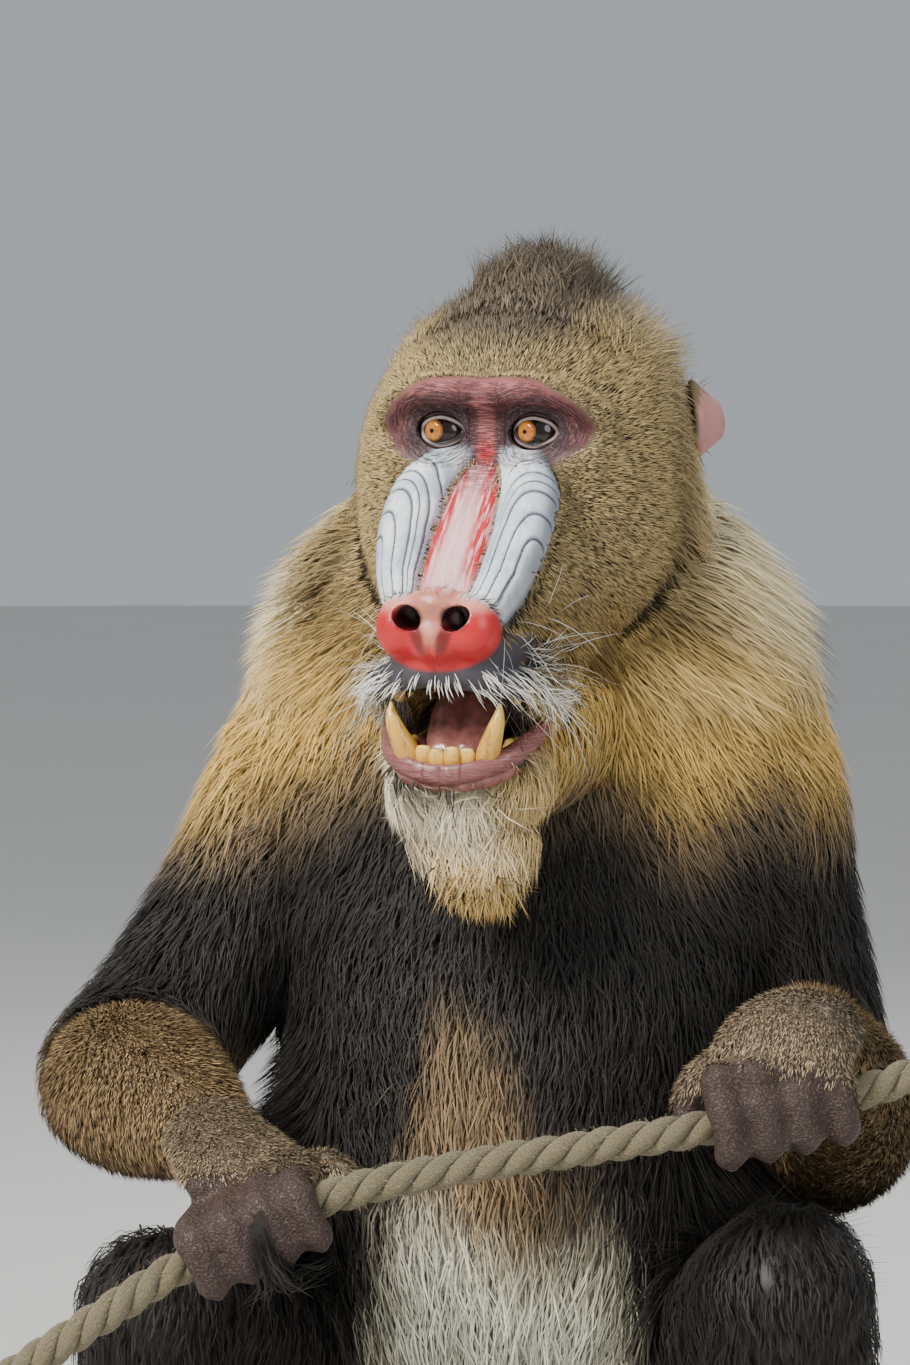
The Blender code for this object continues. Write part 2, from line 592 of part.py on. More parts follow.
def head_local(points):
    m = np.array(in_head().inverted())
    return points @ m[:3, :3].T + m[:3, 3]


def grow_middle_locks(head):
    """The locks of the head and trunk, joined on before the body is parted, so that each node keeps its own."""
    def crest(points, normals):
        p = head_local(points)
        return (np.abs(p[:, 0]) < 0.030) & (p[:, 1] > 0.020) & (p[:, 1] < 0.100) & (p[:, 2] > 0.060) \
            & (normals[:, 2] > 0.55)

    def ruff(points, normals):
        p = head_local(points)
        return (np.abs(p[:, 0]) > 0.066) & (p[:, 1] > 0.026) & (p[:, 1] < 0.110) & (p[:, 2] > -0.105) \
            & (p[:, 2] < 0.020) & ((p[:, 2] < -0.035) | (np.abs(p[:, 1] - 0.086) > 0.030))

    def neck(points, normals):
        p = head_local(points)
        return (points[:, 2] > 0.47) & (points[:, 2] < 0.60) & (np.abs(normals[:, 2]) < 0.8) \
            & ((p[:, 2] < -0.112) | (p[:, 1] > 0.10)) & ((np.abs(p[:, 0]) > 0.098) | (p[:, 1] > 0.03)) \
            & ((points[:, 2] > 0.545) | (np.abs(points[:, 1]) > 0.055))

    def chest(points, normals):
        return (points[:, 2] > 0.34) & (points[:, 2] < 0.475) & (np.abs(normals[:, 2]) < 0.8) \
            & ((points[:, 2] < 0.36) | (points[:, 1] > 0)) & (np.abs(points[:, 1]) > 0.065) \
            & (np.abs(points[:, 0]) < 0.100)

    def abdomen(points, normals):
        return (points[:, 2] > 0.16) & (points[:, 2] < 0.32) & (np.abs(normals[:, 2]) < 0.8) \
            & (points[:, 1] < -0.08) & (np.abs(points[:, 0]) < 0.075)

    core = copy_of(head, "Core")
    for kind, keep in (("abdomen", abdomen), ("chest", chest), ("neck", neck), ("ruff", ruff), ("crest", crest)):
        with_locks(head, kind, keep, core)
    bpy.data.objects.remove(core)
    return head


def grow_arm_locks(arm, side):
    sign = -1 if side == "R" else 1
    return with_locks(arm, "arm", lambda p, n: (p[:, 2] > 0.35) & (p[:, 2] < 0.43) & (p[:, 0] * sign > 0.10)
                      & ((n[:, 0] * sign > 0.1) | (n[:, 1] < -0.5)) & (p[:, 0] * sign > 0.13))


def build_middle():
    """The head and the torso grown together, and then the pieces of the face and the cuts between nodes."""
    frame = in_head()
    shapes = [placed(loft(CREST, across=(1, 0, 0), around=16), frame),
              loft(TORSO, around=40, across=(1, 0, 0), up=(0, 1, 0), ends=0.3)]
    head = fused("head", head_shapes() + shapes, FINE_VOXEL, 4, MIDDLE_TRIANGLES)
    keep_side(head, (0, 0, FLOOR - GAP / 2), (0, 0, 1))
    boolean(head, mesh_of(placed(upright(MOUTH, around=14, per_span=2, caps=(60, 30)), frame)), "DIFFERENCE")
    made = {"head": head}
    for side, word in ((-1, "right"), (1, "left")):
        centre = (side * EYE[0], EYE[1], EYE[2])
        boolean(head, mesh_of(placed(ball(centre, (EYE_RADIUS + GAP,) * 3), frame)), "DIFFERENCE")
        # The opening between the lids is a flat almond.
        lids = [(centre[0], -0.030, 0.0005, 0.0115, 0.0072), (centre[0], -0.006, 0.0005, 0.0105, 0.0066)]
        almond = loft(lids, across=(0.995, 0, 0.06 * side), square=1.6, around=16, per_span=1, caps=(45,))
        boolean(head, mesh_of(placed(almond, frame)), "DIFFERENCE")
        nostril = loft([(side * 0.0135, -0.118, -0.091, 0.0070, 0.0064), (side * 0.0115, -0.104, -0.095, 0.0064, 0.0060),
                        (side * 0.009, -0.092, -0.095, 0.0035, 0.0035)], around=10, ends=0.2, per_span=1, caps=(45,))
        boolean(head, mesh_of(placed(nostril, frame)), "DIFFERENCE")
        made["eye_" + word] = mesh_of(placed(ball(centre, (EYE_RADIUS,) * 3), frame), "eye_" + word)
    grow_middle_locks(largest(head))
    jaw = part_off(head, "jaw", (-0.060, -0.20, -0.206), (0.060, -0.010, -0.143), frame)
    below = frame @ Vector((0, 0, -0.188))
    keep_side(jaw, below, (0, 0, 1))
    made["jaw"] = largest(jaw)
    beard = fused("beard", [placed(loft(BEARD, across=(1, 0, 0), up=(0, 1, 0), around=16), frame)], 0.003, 2, 150)
    with_locks(beard, "beard", lambda p, n: (p[:, 2] < below[2] - 0.004) & (p[:, 2] > below[2] - 0.030))
    made["beard"] = keep_side(beard, below, (0, 0, -1))
    for x, y in INCISORS:
        tooth = [(x, y + 0.002, -0.171, 0.0040, 0.0034), (x, y - 0.001, -0.162, 0.0041, 0.0030),
                 (x, y - 0.003, -0.156, 0.0036, 0.0018)]
        boolean(jaw, mesh_of(placed(loft(tooth, around=8, per_span=1, square=3, caps=(45,)), frame)), "UNION")
    for side, word in ((-1, "right"), (1, "left")):
        rows = [(side * r[0],) + r[1:] for r in CANINE]
        tooth = mesh_of(placed(loft(rows, around=8, per_span=2, caps=(45,)), frame), "canine_" + word)
        clear_of(jaw, tooth)
        made["canine_" + word] = tooth
    made["tongue"] = mesh_of(placed(upright(TONGUE, around=12, per_span=2, caps=(60, 30)), frame), "tongue")
    for side, word in ((-1, "right"), (1, "left")):
        turn = frame @ Matrix.Translation((side * EAR[0], EAR[1], EAR[2])) \
            @ Matrix.Rotation(math.radians(side * 30), 4, "Z") @ Matrix.Rotation(math.radians(-14), 4, "X")
        ear = mesh_of(placed(ball((side * 0.004, 0.004, 0), (0.011, 0.014, 0.021), 2), turn), "ear_" + word)
        boolean(ear, mesh_of(placed(ball((side * 0.010, -0.010, 0.001), (0.009, 0.013, 0.016), 2), turn)), "DIFFERENCE")
        made["ear_" + word] = clear_of(ear, head)
    neck = split(head, "neck", NECK[0][0], NECK[0][1])
    chest = split(neck, "chest", NECK[1][0], NECK[1][1])
    abdomen = split(chest, "abdomen", WAIST, (0, 0, -1))
    made.update({"neck": largest(neck), "chest": largest(chest), "abdomen": largest(abdomen)})
    largest(head)
    return made


COLOURS = {"head": (0.20, 0.17, 0.09), "jaw": (0.40, 0.20, 0.20), "beard": (0.66, 0.58, 0.38), "eye": (0.42, 0.22, 0.05),
           "ear": (0.60, 0.30, 0.26), "tongue": (0.50, 0.22, 0.20), "canine": (0.75, 0.55, 0.20),
           "neck": (0.55, 0.46, 0.26), "chest": (0.30, 0.22, 0.10), "abdomen": (0.50, 0.48, 0.44),
           "tail": (0.10, 0.09, 0.07), "upper_arm": (0.07, 0.065, 0.06), "forearm": (0.20, 0.14, 0.06),
           "hand": (0.12, 0.08, 0.06), "thigh": (0.08, 0.07, 0.065), "shin": (0.09, 0.08, 0.07),
           "foot": (0.07, 0.05, 0.045), "rope": (0.36, 0.33, 0.20)}


def coloured(obj):
    kind = next(k for k in sorted(COLOURS, key=len, reverse=True) if obj.name.startswith(k))
    material = bpy.data.materials.new(obj.name)
    material.use_nodes = True
    shader = material.node_tree.nodes["Principled BSDF"]
    shader.inputs["Base Color"].default_value = COLOURS[kind] + (1,)
    shader.inputs["Roughness"].default_value = 0.3 if kind in ("eye", "canine") else 0.8
    obj.data.materials.clear()
    obj.data.materials.append(material)


def cut_limb(limb, names, at, directions):
    """Parts a limb across two of its joints. Each direction points on towards the tip."""
    limb.name = names[0]
    middle = split(limb, names[1], at[0], directions[0])
    last = split(middle, names[2], at[1], directions[1])
    return {names[0]: largest(limb), names[1]: largest(middle), names[2]: largest(last)}


def direction(a, b):
    line = np.array(b[:3]) - np.array(a[:3])
    return line / np.linalg.norm(line)


def main():
    clear_scene()
    nodes = build_middle()
    middle = [nodes[name] for name in ("head", "neck", "chest", "abdomen")]
    rope = mesh_object("rope", [twisted_rope()])
    for end in (ROPE[0], ROPE[-1]):
        boolean(rope, mesh_of(ball(end, (KNOT_RADIUS, KNOT_RADIUS * 0.9, KNOT_RADIUS), 2)), "UNION")
    nodes["rope"] = rope
    tail = fused("tail", [loft(TAIL, around=14)], 0.003, 3, 240)
    nodes["tail"] = clear_of(tail, nodes["abdomen"])
    for side, word in (("R", "right"), ("L", "left")):
        upper, fore, thigh, shin = UPPER_ARM[side], FOREARM[side], THIGH[side], SHIN[side]
        arm = fused("arm", [loft(upper, around=24), loft(fore, around=24)] + hand_shapes(side),
                    0.003, 5, ARM_TRIANGLES)
        grow_arm_locks(arm, side)
        clear_of(arm, rope, *middle)
        leg = fused("leg", [loft(thigh, around=24), loft(shin, around=24)] + foot_shapes(side),
                    0.0035, 5, LEG_TRIANGLES)
        keep_side(leg, (0, 0, FLOOR - GAP / 2), (0, 0, 1))
        clear_of(leg, nodes["abdomen"], nodes["chest"], arm)
        elbow = direction(upper[-2], upper[-1]) + direction(fore[0], fore[1])
        nodes.update(cut_limb(arm, ["upper_arm_" + word, "forearm_" + word, "hand_" + word],
                              [upper[-1][:3], fore[-1][:3]], [elbow, direction(fore[-2], fore[-1])]))
        knee = direction(thigh[-2], thigh[-1]) + direction(shin[0], shin[1])
        nodes.update(cut_limb(leg, ["thigh_" + word, "shin_" + word, "foot_" + word],
                              [thigh[-1][:3], shin[-1][:3]], [knee, (0, 0, -1)]))
    for name, obj in nodes.items():
        largest(obj)
        obj.name = name
        coloured(obj)


main()
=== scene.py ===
# A life-size male mandrill that sits upright with its mouth open and both hands over a cut length of rope.
# Metres, Z up. It faces -Y, its left side is +X, and the origin is on the floor under its seat.
import math

import bmesh
import bpy
import numpy as np
from mathutils import Matrix, Vector
from mathutils.bvhtree import BVHTree


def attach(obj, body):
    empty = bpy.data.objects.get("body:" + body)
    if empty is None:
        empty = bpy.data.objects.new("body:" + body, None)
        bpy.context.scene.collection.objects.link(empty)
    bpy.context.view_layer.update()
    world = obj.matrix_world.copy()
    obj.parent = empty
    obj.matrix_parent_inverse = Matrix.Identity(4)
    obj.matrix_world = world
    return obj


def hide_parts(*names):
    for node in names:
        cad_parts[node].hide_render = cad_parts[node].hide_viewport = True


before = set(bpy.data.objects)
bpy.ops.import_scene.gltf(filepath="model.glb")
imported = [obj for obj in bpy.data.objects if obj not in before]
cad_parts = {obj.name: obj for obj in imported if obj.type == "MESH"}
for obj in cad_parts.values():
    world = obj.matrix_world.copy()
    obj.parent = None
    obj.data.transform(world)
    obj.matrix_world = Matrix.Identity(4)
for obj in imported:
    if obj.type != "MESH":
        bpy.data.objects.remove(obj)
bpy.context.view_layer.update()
print("the CAD model is loaded")

# The head's own frame: its origin is midway between the eyes.
headPlace = Matrix.Translation((0.0055, -0.029, 0.632)) @ Matrix.Rotation(math.radians(-6.5), 4, "Z") \
    @ Matrix.Translation((0, -0.074, 0))


# Small helpers for whole arrays
def unit(v):
    return v / np.maximum(np.linalg.norm(v, axis=-1, keepdims=True), 1e-9)


def ramp(x, low, high):  # a smooth step from 0 at low to 1 at high
    t = np.clip((x - low) / (high - low), 0, 1)
    return t * t * (3 - 2 * t)


def moved(points, matrix):
    m = np.array(matrix)
    return np.asarray(points) @ m[:3, :3].T + m[:3, 3]


def inHead(points):  # world points in the head's frame
    return moved(points, headPlace.inverted())


def curve(rows, perSpan):
    # A Catmull-Rom curve through the rows, every column carried along with the points.
    rows = np.array(rows, float)
    padded = np.vstack([2 * rows[0] - rows[1], rows, 2 * rows[-1] - rows[-2]])
    n = len(rows) - 1
    p0, p1, p2, p3 = (padded[k:k + n, None] for k in range(4))
    t = (np.arange(perSpan) / perSpan)[None, :, None]
    line = 0.5 * (2 * p1 + (p2 - p0) * t + (2 * p0 - 5 * p1 + 4 * p2 - p3) * t ** 2
                  + (3 * p1 - p0 - 3 * p2 + p3) * t ** 3)
    return np.vstack([line.reshape(-1, rows.shape[1]), rows[-1]])


def gridFaces(rings, around):
    # The four-sided faces of rings that close on themselves, each ring joined to the next.
    r = np.arange(rings - 1)[:, None] * around
    j = np.arange(around)[None, :]
    k = (j + 1) % around
    return np.stack([r + j, r + k, r + around + k, r + around + j], axis=-1).reshape(-1, 4).tolist()


def capFaces(rings, around):
    # Fans that close the first and last ring on the two poles, which follow the rings in the list.
    j = np.arange(around)
    k = (j + 1) % around
    first = np.stack([np.full(around, rings * around), k, j], axis=-1)
    last = np.stack([np.full(around, rings * around + 1), (rings - 1) * around + j, (rings - 1) * around
        + k], axis=-1)
    return first.tolist() + last.tolist()


def tube(rows, around=24, perSpan=4, across=None, up=(0, 0, 1), square=2.0, ends=0.7):
    # A closed form along rows of (x, y, z, half width, half height): centre plus half width times a rounded
    # cosine across and half height times a rounded sine up, and a quarter turn of smaller rings at each end.
    line = curve(rows, perSpan)
    centre, wide, high = line[:, :3], np.abs(line[:, 3]), np.abs(line[:, 4])
    ahead = unit(np.gradient(centre, axis=0))
    if across is None:
        side = unit(np.cross(ahead, np.array(up, float)))
        top = np.cross(side, ahead)
    else:
        side = np.tile(np.array(across, float), (len(line), 1))
        top = np.tile(np.array(up, float), (len(line), 1))
    bend = np.radians([78, 58, 36, 16])
    reach = ends * np.array([min(wide[0], high[0]), min(wide[-1], high[-1])])
    index = np.concatenate([np.zeros(4, int), np.arange(len(line)), np.full(4, len(line) - 1)])
    swell = np.concatenate([np.cos(bend), np.ones(len(line)), np.cos(bend[::-1])])
    shift = np.concatenate([-reach[0] * np.sin(bend), np.zeros(len(line)), reach[1] * np.sin(bend[::-1])])
    middle = centre[index] + ahead[index] * shift[:, None]
    angle = np.arange(around) * 2 * math.pi / around
    ca = np.sign(np.cos(angle)) * np.abs(np.cos(angle)) ** (2 / square)
    sa = np.sign(np.sin(angle)) * np.abs(np.sin(angle)) ** (2 / square)
    rings = middle[:, None] + (swell
        * wide[index])[:, None, None] * ca[None, :, None] * side[index][:, None] \
        + (swell * high[index])[:, None, None] * sa[None, :, None] * top[index][:, None]
    poles = [centre[0] - ahead[0] * reach[0], centre[-1] + ahead[-1] * reach[1]]
    return np.vstack([rings.reshape(-1, 3), poles]), gridFaces(len(index), around) + capFaces(len(index),
        around)


def upright(rows, **more):
    # A form of rings that stand across Y, from rows of (y, half width, top, bottom).
    return tube([(0, y, (t + b) / 2, w, (t - b) / 2) for y, w, t, b in rows], across=(1, 0, 0), **more)


def ball(centre, radii, around=28):
    # An ellipsoid: the cosine of the latitude times the circle, and its sine upwards.
    lat = np.linspace(-math.pi / 2, math.pi / 2, around // 2 + 1)[1:-1]
    lon = np.arange(around) * 2 * math.pi / around
    rings = np.stack([np.cos(lat)[:, None] * np.cos(lon), np.cos(lat)[:, None] * np.sin(lon),
                      np.sin(lat)[:, None] * np.ones(around)], axis=-1)
    points = np.vstack([rings.reshape(-1, 3), [(0, 0, -1), (0, 0, 1)]]) * radii + centre
    return points, gridFaces(len(lat), around) + capFaces(len(lat), around)


def mirrored(rows):
    return [(-r[0],) + tuple(r[1:]) for r in rows]


def joined(shapes):
    points, faces, start = [], [], 0
    for p, f in shapes:
        points.append(p)
        faces += [[i + start for i in face] for face in f]
        start += len(p)
    return np.vstack(points), faces


def makeMesh(name, shape, smooth=True, outward=True):
    points, faces = shape
    mesh = bpy.data.meshes.new(name)
    mesh.from_pydata(np.asarray(points).tolist(), [], faces)
    if outward:
        bm = bmesh.new()
        bm.from_mesh(mesh)
        bmesh.ops.recalc_face_normals(bm, faces=bm.faces[:])
        bm.to_mesh(mesh)
        bm.free()
    mesh.polygons.foreach_set("use_smooth", np.full(len(mesh.polygons), smooth))
    obj = bpy.data.objects.new(name, mesh)
    bpy.context.scene.collection.objects.link(obj)
    return obj


def applied(obj):
    # Replaces the mesh with what the modifiers make of it.
    mesh = bpy.data.meshes.new_from_object(obj.evaluated_get(bpy.context.evaluated_depsgraph_get()))
    obj.modifiers.clear()
    obj.data = mesh
    return obj


def fused(name, shapes, voxel, rounds):
    # The shapes grown into one skin on a fine lattice, and then smoothed.
    obj = makeMesh(name, joined(shapes))
    grow = obj.modifiers.new("Grow", "REMESH")
    grow.mode = "VOXEL"
    grow.voxel_size = voxel
    soften = obj.modifiers.new("Soften", "SMOOTH")
    soften.factor = 0.5
    soften.iterations = rounds
    return applied(obj)


def cut(obj, shape, operation="DIFFERENCE"):
    # One Boolean with a closed shape, by the solver for closed meshes, or by the slower one if that gives
    # nothing.
    other = shape if isinstance(shape, bpy.types.Object) else makeMesh("Cutter", shape)
    before = obj.data.copy()
    for solver in ("MANIFOLD", "EXACT"):
        obj.data = before.copy()
        modifier = obj.modifiers.new("Cut", "BOOLEAN")
        modifier.operation = operation
        modifier.object = other
        modifier.solver = solver
        applied(obj)
        if len(obj.data.polygons) > 10:
            break
    bpy.data.objects.remove(other)
    return obj


def vertexArray(mesh, what="co"):
    values = np.empty(len(mesh.vertices) * 3)
    mesh.vertices.foreach_get(what, values)
    return values.reshape(-1, 3)


def setPoints(mesh, points):
    mesh.vertices.foreach_set("co", np.asarray(points, float).ravel())
    mesh.update()


def keep(mesh, name, values):
    # Keeps a number, a vector or a colour at each point for the materials to read.
    values = np.asarray(values, float)
    if values.ndim == 1:
        mesh.attributes.new(name, "FLOAT", "POINT").data.foreach_set("value", values)
    else:
        mesh.attributes.new(name, "FLOAT_VECTOR", "POINT").data.foreach_set("vector", values.ravel())


# The camera, and the soft studio light
view = {"turn": 11.0, "rise": 4.0, "distance": 4.0, "aim": 0.042, "height": 0.495, "lens": 199.03}


def setUpView():
    turn, rise = math.radians(view["turn"]), math.radians(view["rise"])
    back = Vector((math.sin(turn) * math.cos(rise), -math.cos(turn) * math.cos(rise), math.sin(rise)))
    aim = Vector((-view["aim"] * math.cos(turn), -view["aim"] * math.sin(turn), view["height"]))
    lens = bpy.data.cameras.new("Camera")
    lens.sensor_width = 36
    lens.lens = view["lens"]
    camera = bpy.data.objects.new("Camera", lens)
    camera.location = aim + back * view["distance"]
    camera.rotation_euler = (-back).to_track_quat("-Z", "Y").to_euler()
    bpy.context.scene.collection.objects.link(camera)
    bpy.context.scene.camera = camera


lamps = {"key": ((-1.5, -2.1, 2.5), 1.5, 165, (1.0, 0.97, 0.92)),
         "side": ((1.9, -1.5, 1.3), 1.4, 20, (0.95, 0.98, 1.0)),
         "rim": ((0.4, 1.9, 1.9), 1.3, 30, (1.0, 1.0, 1.0))}
skyLight = (0.78, 0.83, 0.88, 0.52)


def setUpLight():
    for name, (place, size, power, tint) in lamps.items():
        lamp = bpy.data.lights.new(name, "AREA")
        lamp.shape = "DISK"
        lamp.size = size
        lamp.energy = power
        lamp.color = tint
        obj = bpy.data.objects.new(name, lamp)
        obj.location = place
        obj.rotation_euler = (Vector((0, -0.1, 0.45)) - Vector(place)).to_track_quat("-Z", "Y").to_euler()
        bpy.context.scene.collection.objects.link(obj)
    world = bpy.data.worlds.new("World")
    world.use_nodes = True
    world.node_tree.nodes["Background"].inputs["Color"].default_value = skyLight[:3] + (1,)
    world.node_tree.nodes["Background"].inputs["Strength"].default_value = skyLight[3]
    bpy.context.scene.world = world
    angle = np.arange(48) * 2 * math.pi / 48
    rim = np.stack([9 * np.cos(angle), 9 * np.sin(angle), 0 * angle], axis=-1)
    faces = [[48, j, (j + 1) % 48] for j in range(48)]
    floor = makeMesh("floor", (np.vstack([rim, [(0, 0, 0)]]), faces), smooth=False, outward=False)
    floor.data.materials.append(floorFinish())


# Materials
class Wire:
    # One socket of a material. Sums on it add the nodes that work them out.
    def __init__(self, tree, socket=None):
        self.tree = tree
        self.socket = socket

    def node(self, kind, settings=None, sockets=None, output=0):
        made = self.tree.nodes.new("ShaderNode" + kind)
        for key, value in (settings or {}).items():
            if key != "stops":
                setattr(made, key, value)
                continue
            elements = made.color_ramp.elements
            while len(elements) < len(value):
                elements.new(0.5)
            for element, (at, colour) in zip(elements, value):
                element.position = at
                element.color = tuple(colour) + (1,) if hasattr(colour, "__len__") else (colour,) * 3 + (1,)
        for key, value in (sockets or {}).items():
            if isinstance(value, Wire):
                self.tree.links.new(value.socket, made.inputs[key])
            elif made.inputs[key].type == "RGBA" and len(value) == 3:
                made.inputs[key].default_value = tuple(value) + (1,)
            else:
                made.inputs[key].default_value = value
        return Wire(self.tree, made.outputs[output])

    def sum(self, operation, a, b=0.0, c=0.0):
        return self.node("Math", {"operation": operation}, {0: a, 1: b, 2: c})

    def __add__(self, other):
        return self.sum("ADD", self, other)

    def __radd__(self, other):
        return self.sum("ADD", other, self)

    def __sub__(self, other):
        return self.sum("SUBTRACT", self, other)

    def __rsub__(self, other):
        return self.sum("SUBTRACT", other, self)

    def __mul__(self, other):
        return self.sum("MULTIPLY", self, other)

    def __rmul__(self, other):
        return self.sum("MULTIPLY", other, self)

    def between(self, low, high):  # 0 at low, 1 at high, held outside
        return self.node("MapRange", {"interpolation_type": "SMOOTHSTEP"}, {0: self, 1: low, 2: high})

    def value(self, name):
        return self.node("Attribute", {"attribute_name": name}, output="Fac")

    def colour(self, name):
        return self.node("Attribute", {"attribute_name": name}, output="Vector")

    def place(self):
        return self.node("TexCoord", output="Object")

    def stretched(self, vector, sizes):
        return self.node("VectorMath", {"operation": "MULTIPLY"}, {0: vector, 1: sizes})

    def noise(self, vector, scale, detail=2.0, rough=0.5):
        return self.node("TexNoise", {}, {"Vector": vector, "Scale": scale, "Detail": detail,
            "Roughness": rough})

    def mixed(self, factor, a, b, blend="MIX"):
        return self.node("Mix", {"data_type": "RGBA", "blend_type": blend}, {0: factor, 6: a, 7: b}, 2)

    def dimmed(self, colour, factor):
        return self.node("VectorMath", {"operation": "SCALE"}, {0: colour, "Scale": factor})

    def bump(self, height, strength, depth):
        return self.node("Bump", {}, {"Strength": strength, "Distance": depth, "Height": height})


def newFinish(name, fixed):
    # A new material, a wire to start its sums from, and its shader with the fixed values set on it.
    material = bpy.data.materials.new(name)
    material.use_nodes = True
    shader = material.node_tree.nodes["Principled BSDF"]
    for key, value in fixed.items():
        shader.inputs[key].default_value = tuple(value) + (1,) if key == "Base Color" else value
    return material, Wire(material.node_tree), shader


def feed(shader, wire, **links):
    for key, value in links.items():
        wire.tree.links.new(value.socket, shader.inputs[key.replace("_", " ")])


def floorFinish():
    material, w, shader = newFinish("Pale floor", {"Roughness": 0.75})
    grain = w.noise(w.place(), 6.0, 3.0)
    feed(shader, w, Base_Color=w.mixed(grain, (0.62, 0.61, 0.59), (0.66, 0.65, 0.63)))
    return material


coatLooks = {
    "agouti": {"stops": [(0.0, 0.08), (0.42, 0.14), (0.58, 1.9), (0.80, 1.8), (0.95, 0.12)], "spread": 1.3},
    "long": {"stops": [(0.0, 0.55), (0.25, 0.85), (0.7, 1.15), (1.0, 0.95)], "spread": 0.60},
    "dark": {"stops": [(0.0, 0.4), (0.4, 0.8), (0.85, 1.2), (1.0, 1.5)], "spread": 1.0}}


def coatFinish(name, look, roughness=0.62, sheen=0.0):
    # The colour at the root, banded along the hair, lighter or darker from hair to hair, with fine streaks.
    material, w, shader = newFinish(name, {"Roughness": roughness, "Specular IOR Level": 0.22,
                                           "Sheen Weight": sheen, "Sheen Roughness": 0.4})
    sizes = coatLooks[look]
    odd = w.value("odd")
    shift = (odd - 0.5) * 0.22
    band = w.node("ValToRGB", {"stops": sizes["stops"]}, {"Fac": w.value("along") + shift})
    strand = w.stretched(w.colour("strand"), (2.4, 0.10, 1.0))
    streak = w.noise(strand, 1.0, 2.0)
    bright = (odd * sizes["spread"] + (1.0 - sizes["spread"] * 0.5)) * (streak * 0.9 + 0.55)
    colour = w.mixed(1.0, w.colour("hue"), band, "MULTIPLY")
    feed(shader, w, Base_Color=w.dimmed(colour, bright), Normal=w.bump(streak, 0.55, 0.0006))
    return material


# The body's forms, each a list of rows of x, y, z, half width and half depth.
torso = [(0, 0.040, -0.030, 0.050, 0.046), (0, 0.040, -0.002, 0.080, 0.072), (0, 0.040, 0.050, 0.122, 0.104),
         (0, 0.018, 0.130, 0.134, 0.124), (0, -0.006, 0.220, 0.124, 0.128), (0, -0.008, 0.310, 0.120, 0.116),
         (0, 0.000, 0.380, 0.134, 0.100), (0, 0.004, 0.433, 0.146, 0.093), (0, 0.003, 0.486, 0.142, 0.088),
         (0, 0.000, 0.528, 0.126, 0.084), (0, -0.006, 0.570, 0.100, 0.080), (0, -0.012, 0.602, 0.076, 0.076),
         (0, -0.015, 0.630, 0.060, 0.068)]
limbs = {
    "armRight": [(-0.094, 0.002, 0.480, 0.036, 0.038), (-0.124, -0.004, 0.430, 0.044, 0.045),
                 (-0.147, -0.018, 0.380, 0.043, 0.043), (-0.177, -0.044, 0.330, 0.040, 0.040),
                 (-0.209, -0.076, 0.288, 0.039, 0.039)],
    "armLeft": [(0.094, 0.002, 0.480, 0.036, 0.038), (0.114, 0.000, 0.430, 0.044, 0.045),
                (0.123, 0.004, 0.380, 0.041, 0.041), (0.139, 0.010, 0.320, 0.039, 0.040),
                (0.152, 0.014, 0.256, 0.038, 0.039)],
    "foreRight": [(-0.209, -0.076, 0.288, 0.039, 0.039), (-0.188, -0.116, 0.288, 0.044, 0.043),
                  (-0.156, -0.162, 0.282, 0.034, 0.033), (-0.134, -0.196, 0.275, 0.024, 0.021)],
    "foreLeft": [(0.152, 0.014, 0.256, 0.038, 0.039), (0.166, -0.036, 0.270, 0.043, 0.042),
                 (0.176, -0.098, 0.300, 0.034, 0.033), (0.175, -0.150, 0.326, 0.024, 0.021)],
    "thighRight": [(-0.078, 0.045, 0.092, 0.062, 0.068), (-0.114, -0.030, 0.122, 0.054, 0.062),
                   (-0.142, -0.120, 0.160, 0.043, 0.048), (-0.163, -0.196, 0.190, 0.037, 0.036)],
    "thighLeft": [(0.078, 0.045, 0.092, 0.062, 0.068), (0.112, -0.026, 0.128, 0.058, 0.064),
                  (0.142, -0.112, 0.172, 0.048, 0.050), (0.166, -0.188, 0.208, 0.039, 0.038)],
    "shinRight": [(-0.163, -0.196, 0.190, 0.037, 0.036), (-0.163, -0.172, 0.142, 0.038, 0.040),
                  (-0.156, -0.136, 0.090, 0.032, 0.034), (-0.148, -0.104, 0.048, 0.024, 0.028)],
    "shinLeft": [(0.166, -0.188, 0.208, 0.039, 0.038), (0.164, -0.160, 0.150, 0.039, 0.041),
                 (0.158, -0.126, 0.095, 0.033, 0.034), (0.150, -0.100, 0.048, 0.024, 0.028)],
    "tail": [(0, 0.115, 0.088, 0.020, 0.020), (0, 0.146, 0.098, 0.016, 0.016),
             (0, 0.166, 0.124, 0.013, 0.013), (0, 0.174, 0.152, 0.008, 0.008)]}
feet = {
    "footRight": [(-0.143, -0.070, 0.024, 0.021, 0.023), (-0.144, -0.105, 0.030, 0.026, 0.029),
                  (-0.148, -0.160, 0.026, 0.031, 0.023), (-0.153, -0.215, 0.018, 0.037, 0.015)],
    "footLeft": [(0.149, -0.066, 0.024, 0.021, 0.023), (0.151, -0.101, 0.030, 0.026, 0.029),
                 (0.158, -0.156, 0.026, 0.031, 0.023), (0.165, -0.211, 0.018, 0.037, 0.015)]}

ropeSizes = {"radius": 0.009, "lay": 0.046, "knot": 0.0155}
ropeLine = [(-0.230, -0.312, 0.152), (-0.165, -0.299, 0.196), (-0.121, -0.288, 0.224),
            (-0.056, -0.272, 0.255),
            (0.010, -0.256, 0.270), (0.073, -0.241, 0.280), (0.133, -0.224, 0.290), (0.195, -0.200, 0.303),
            (0.262, -0.167, 0.325)]

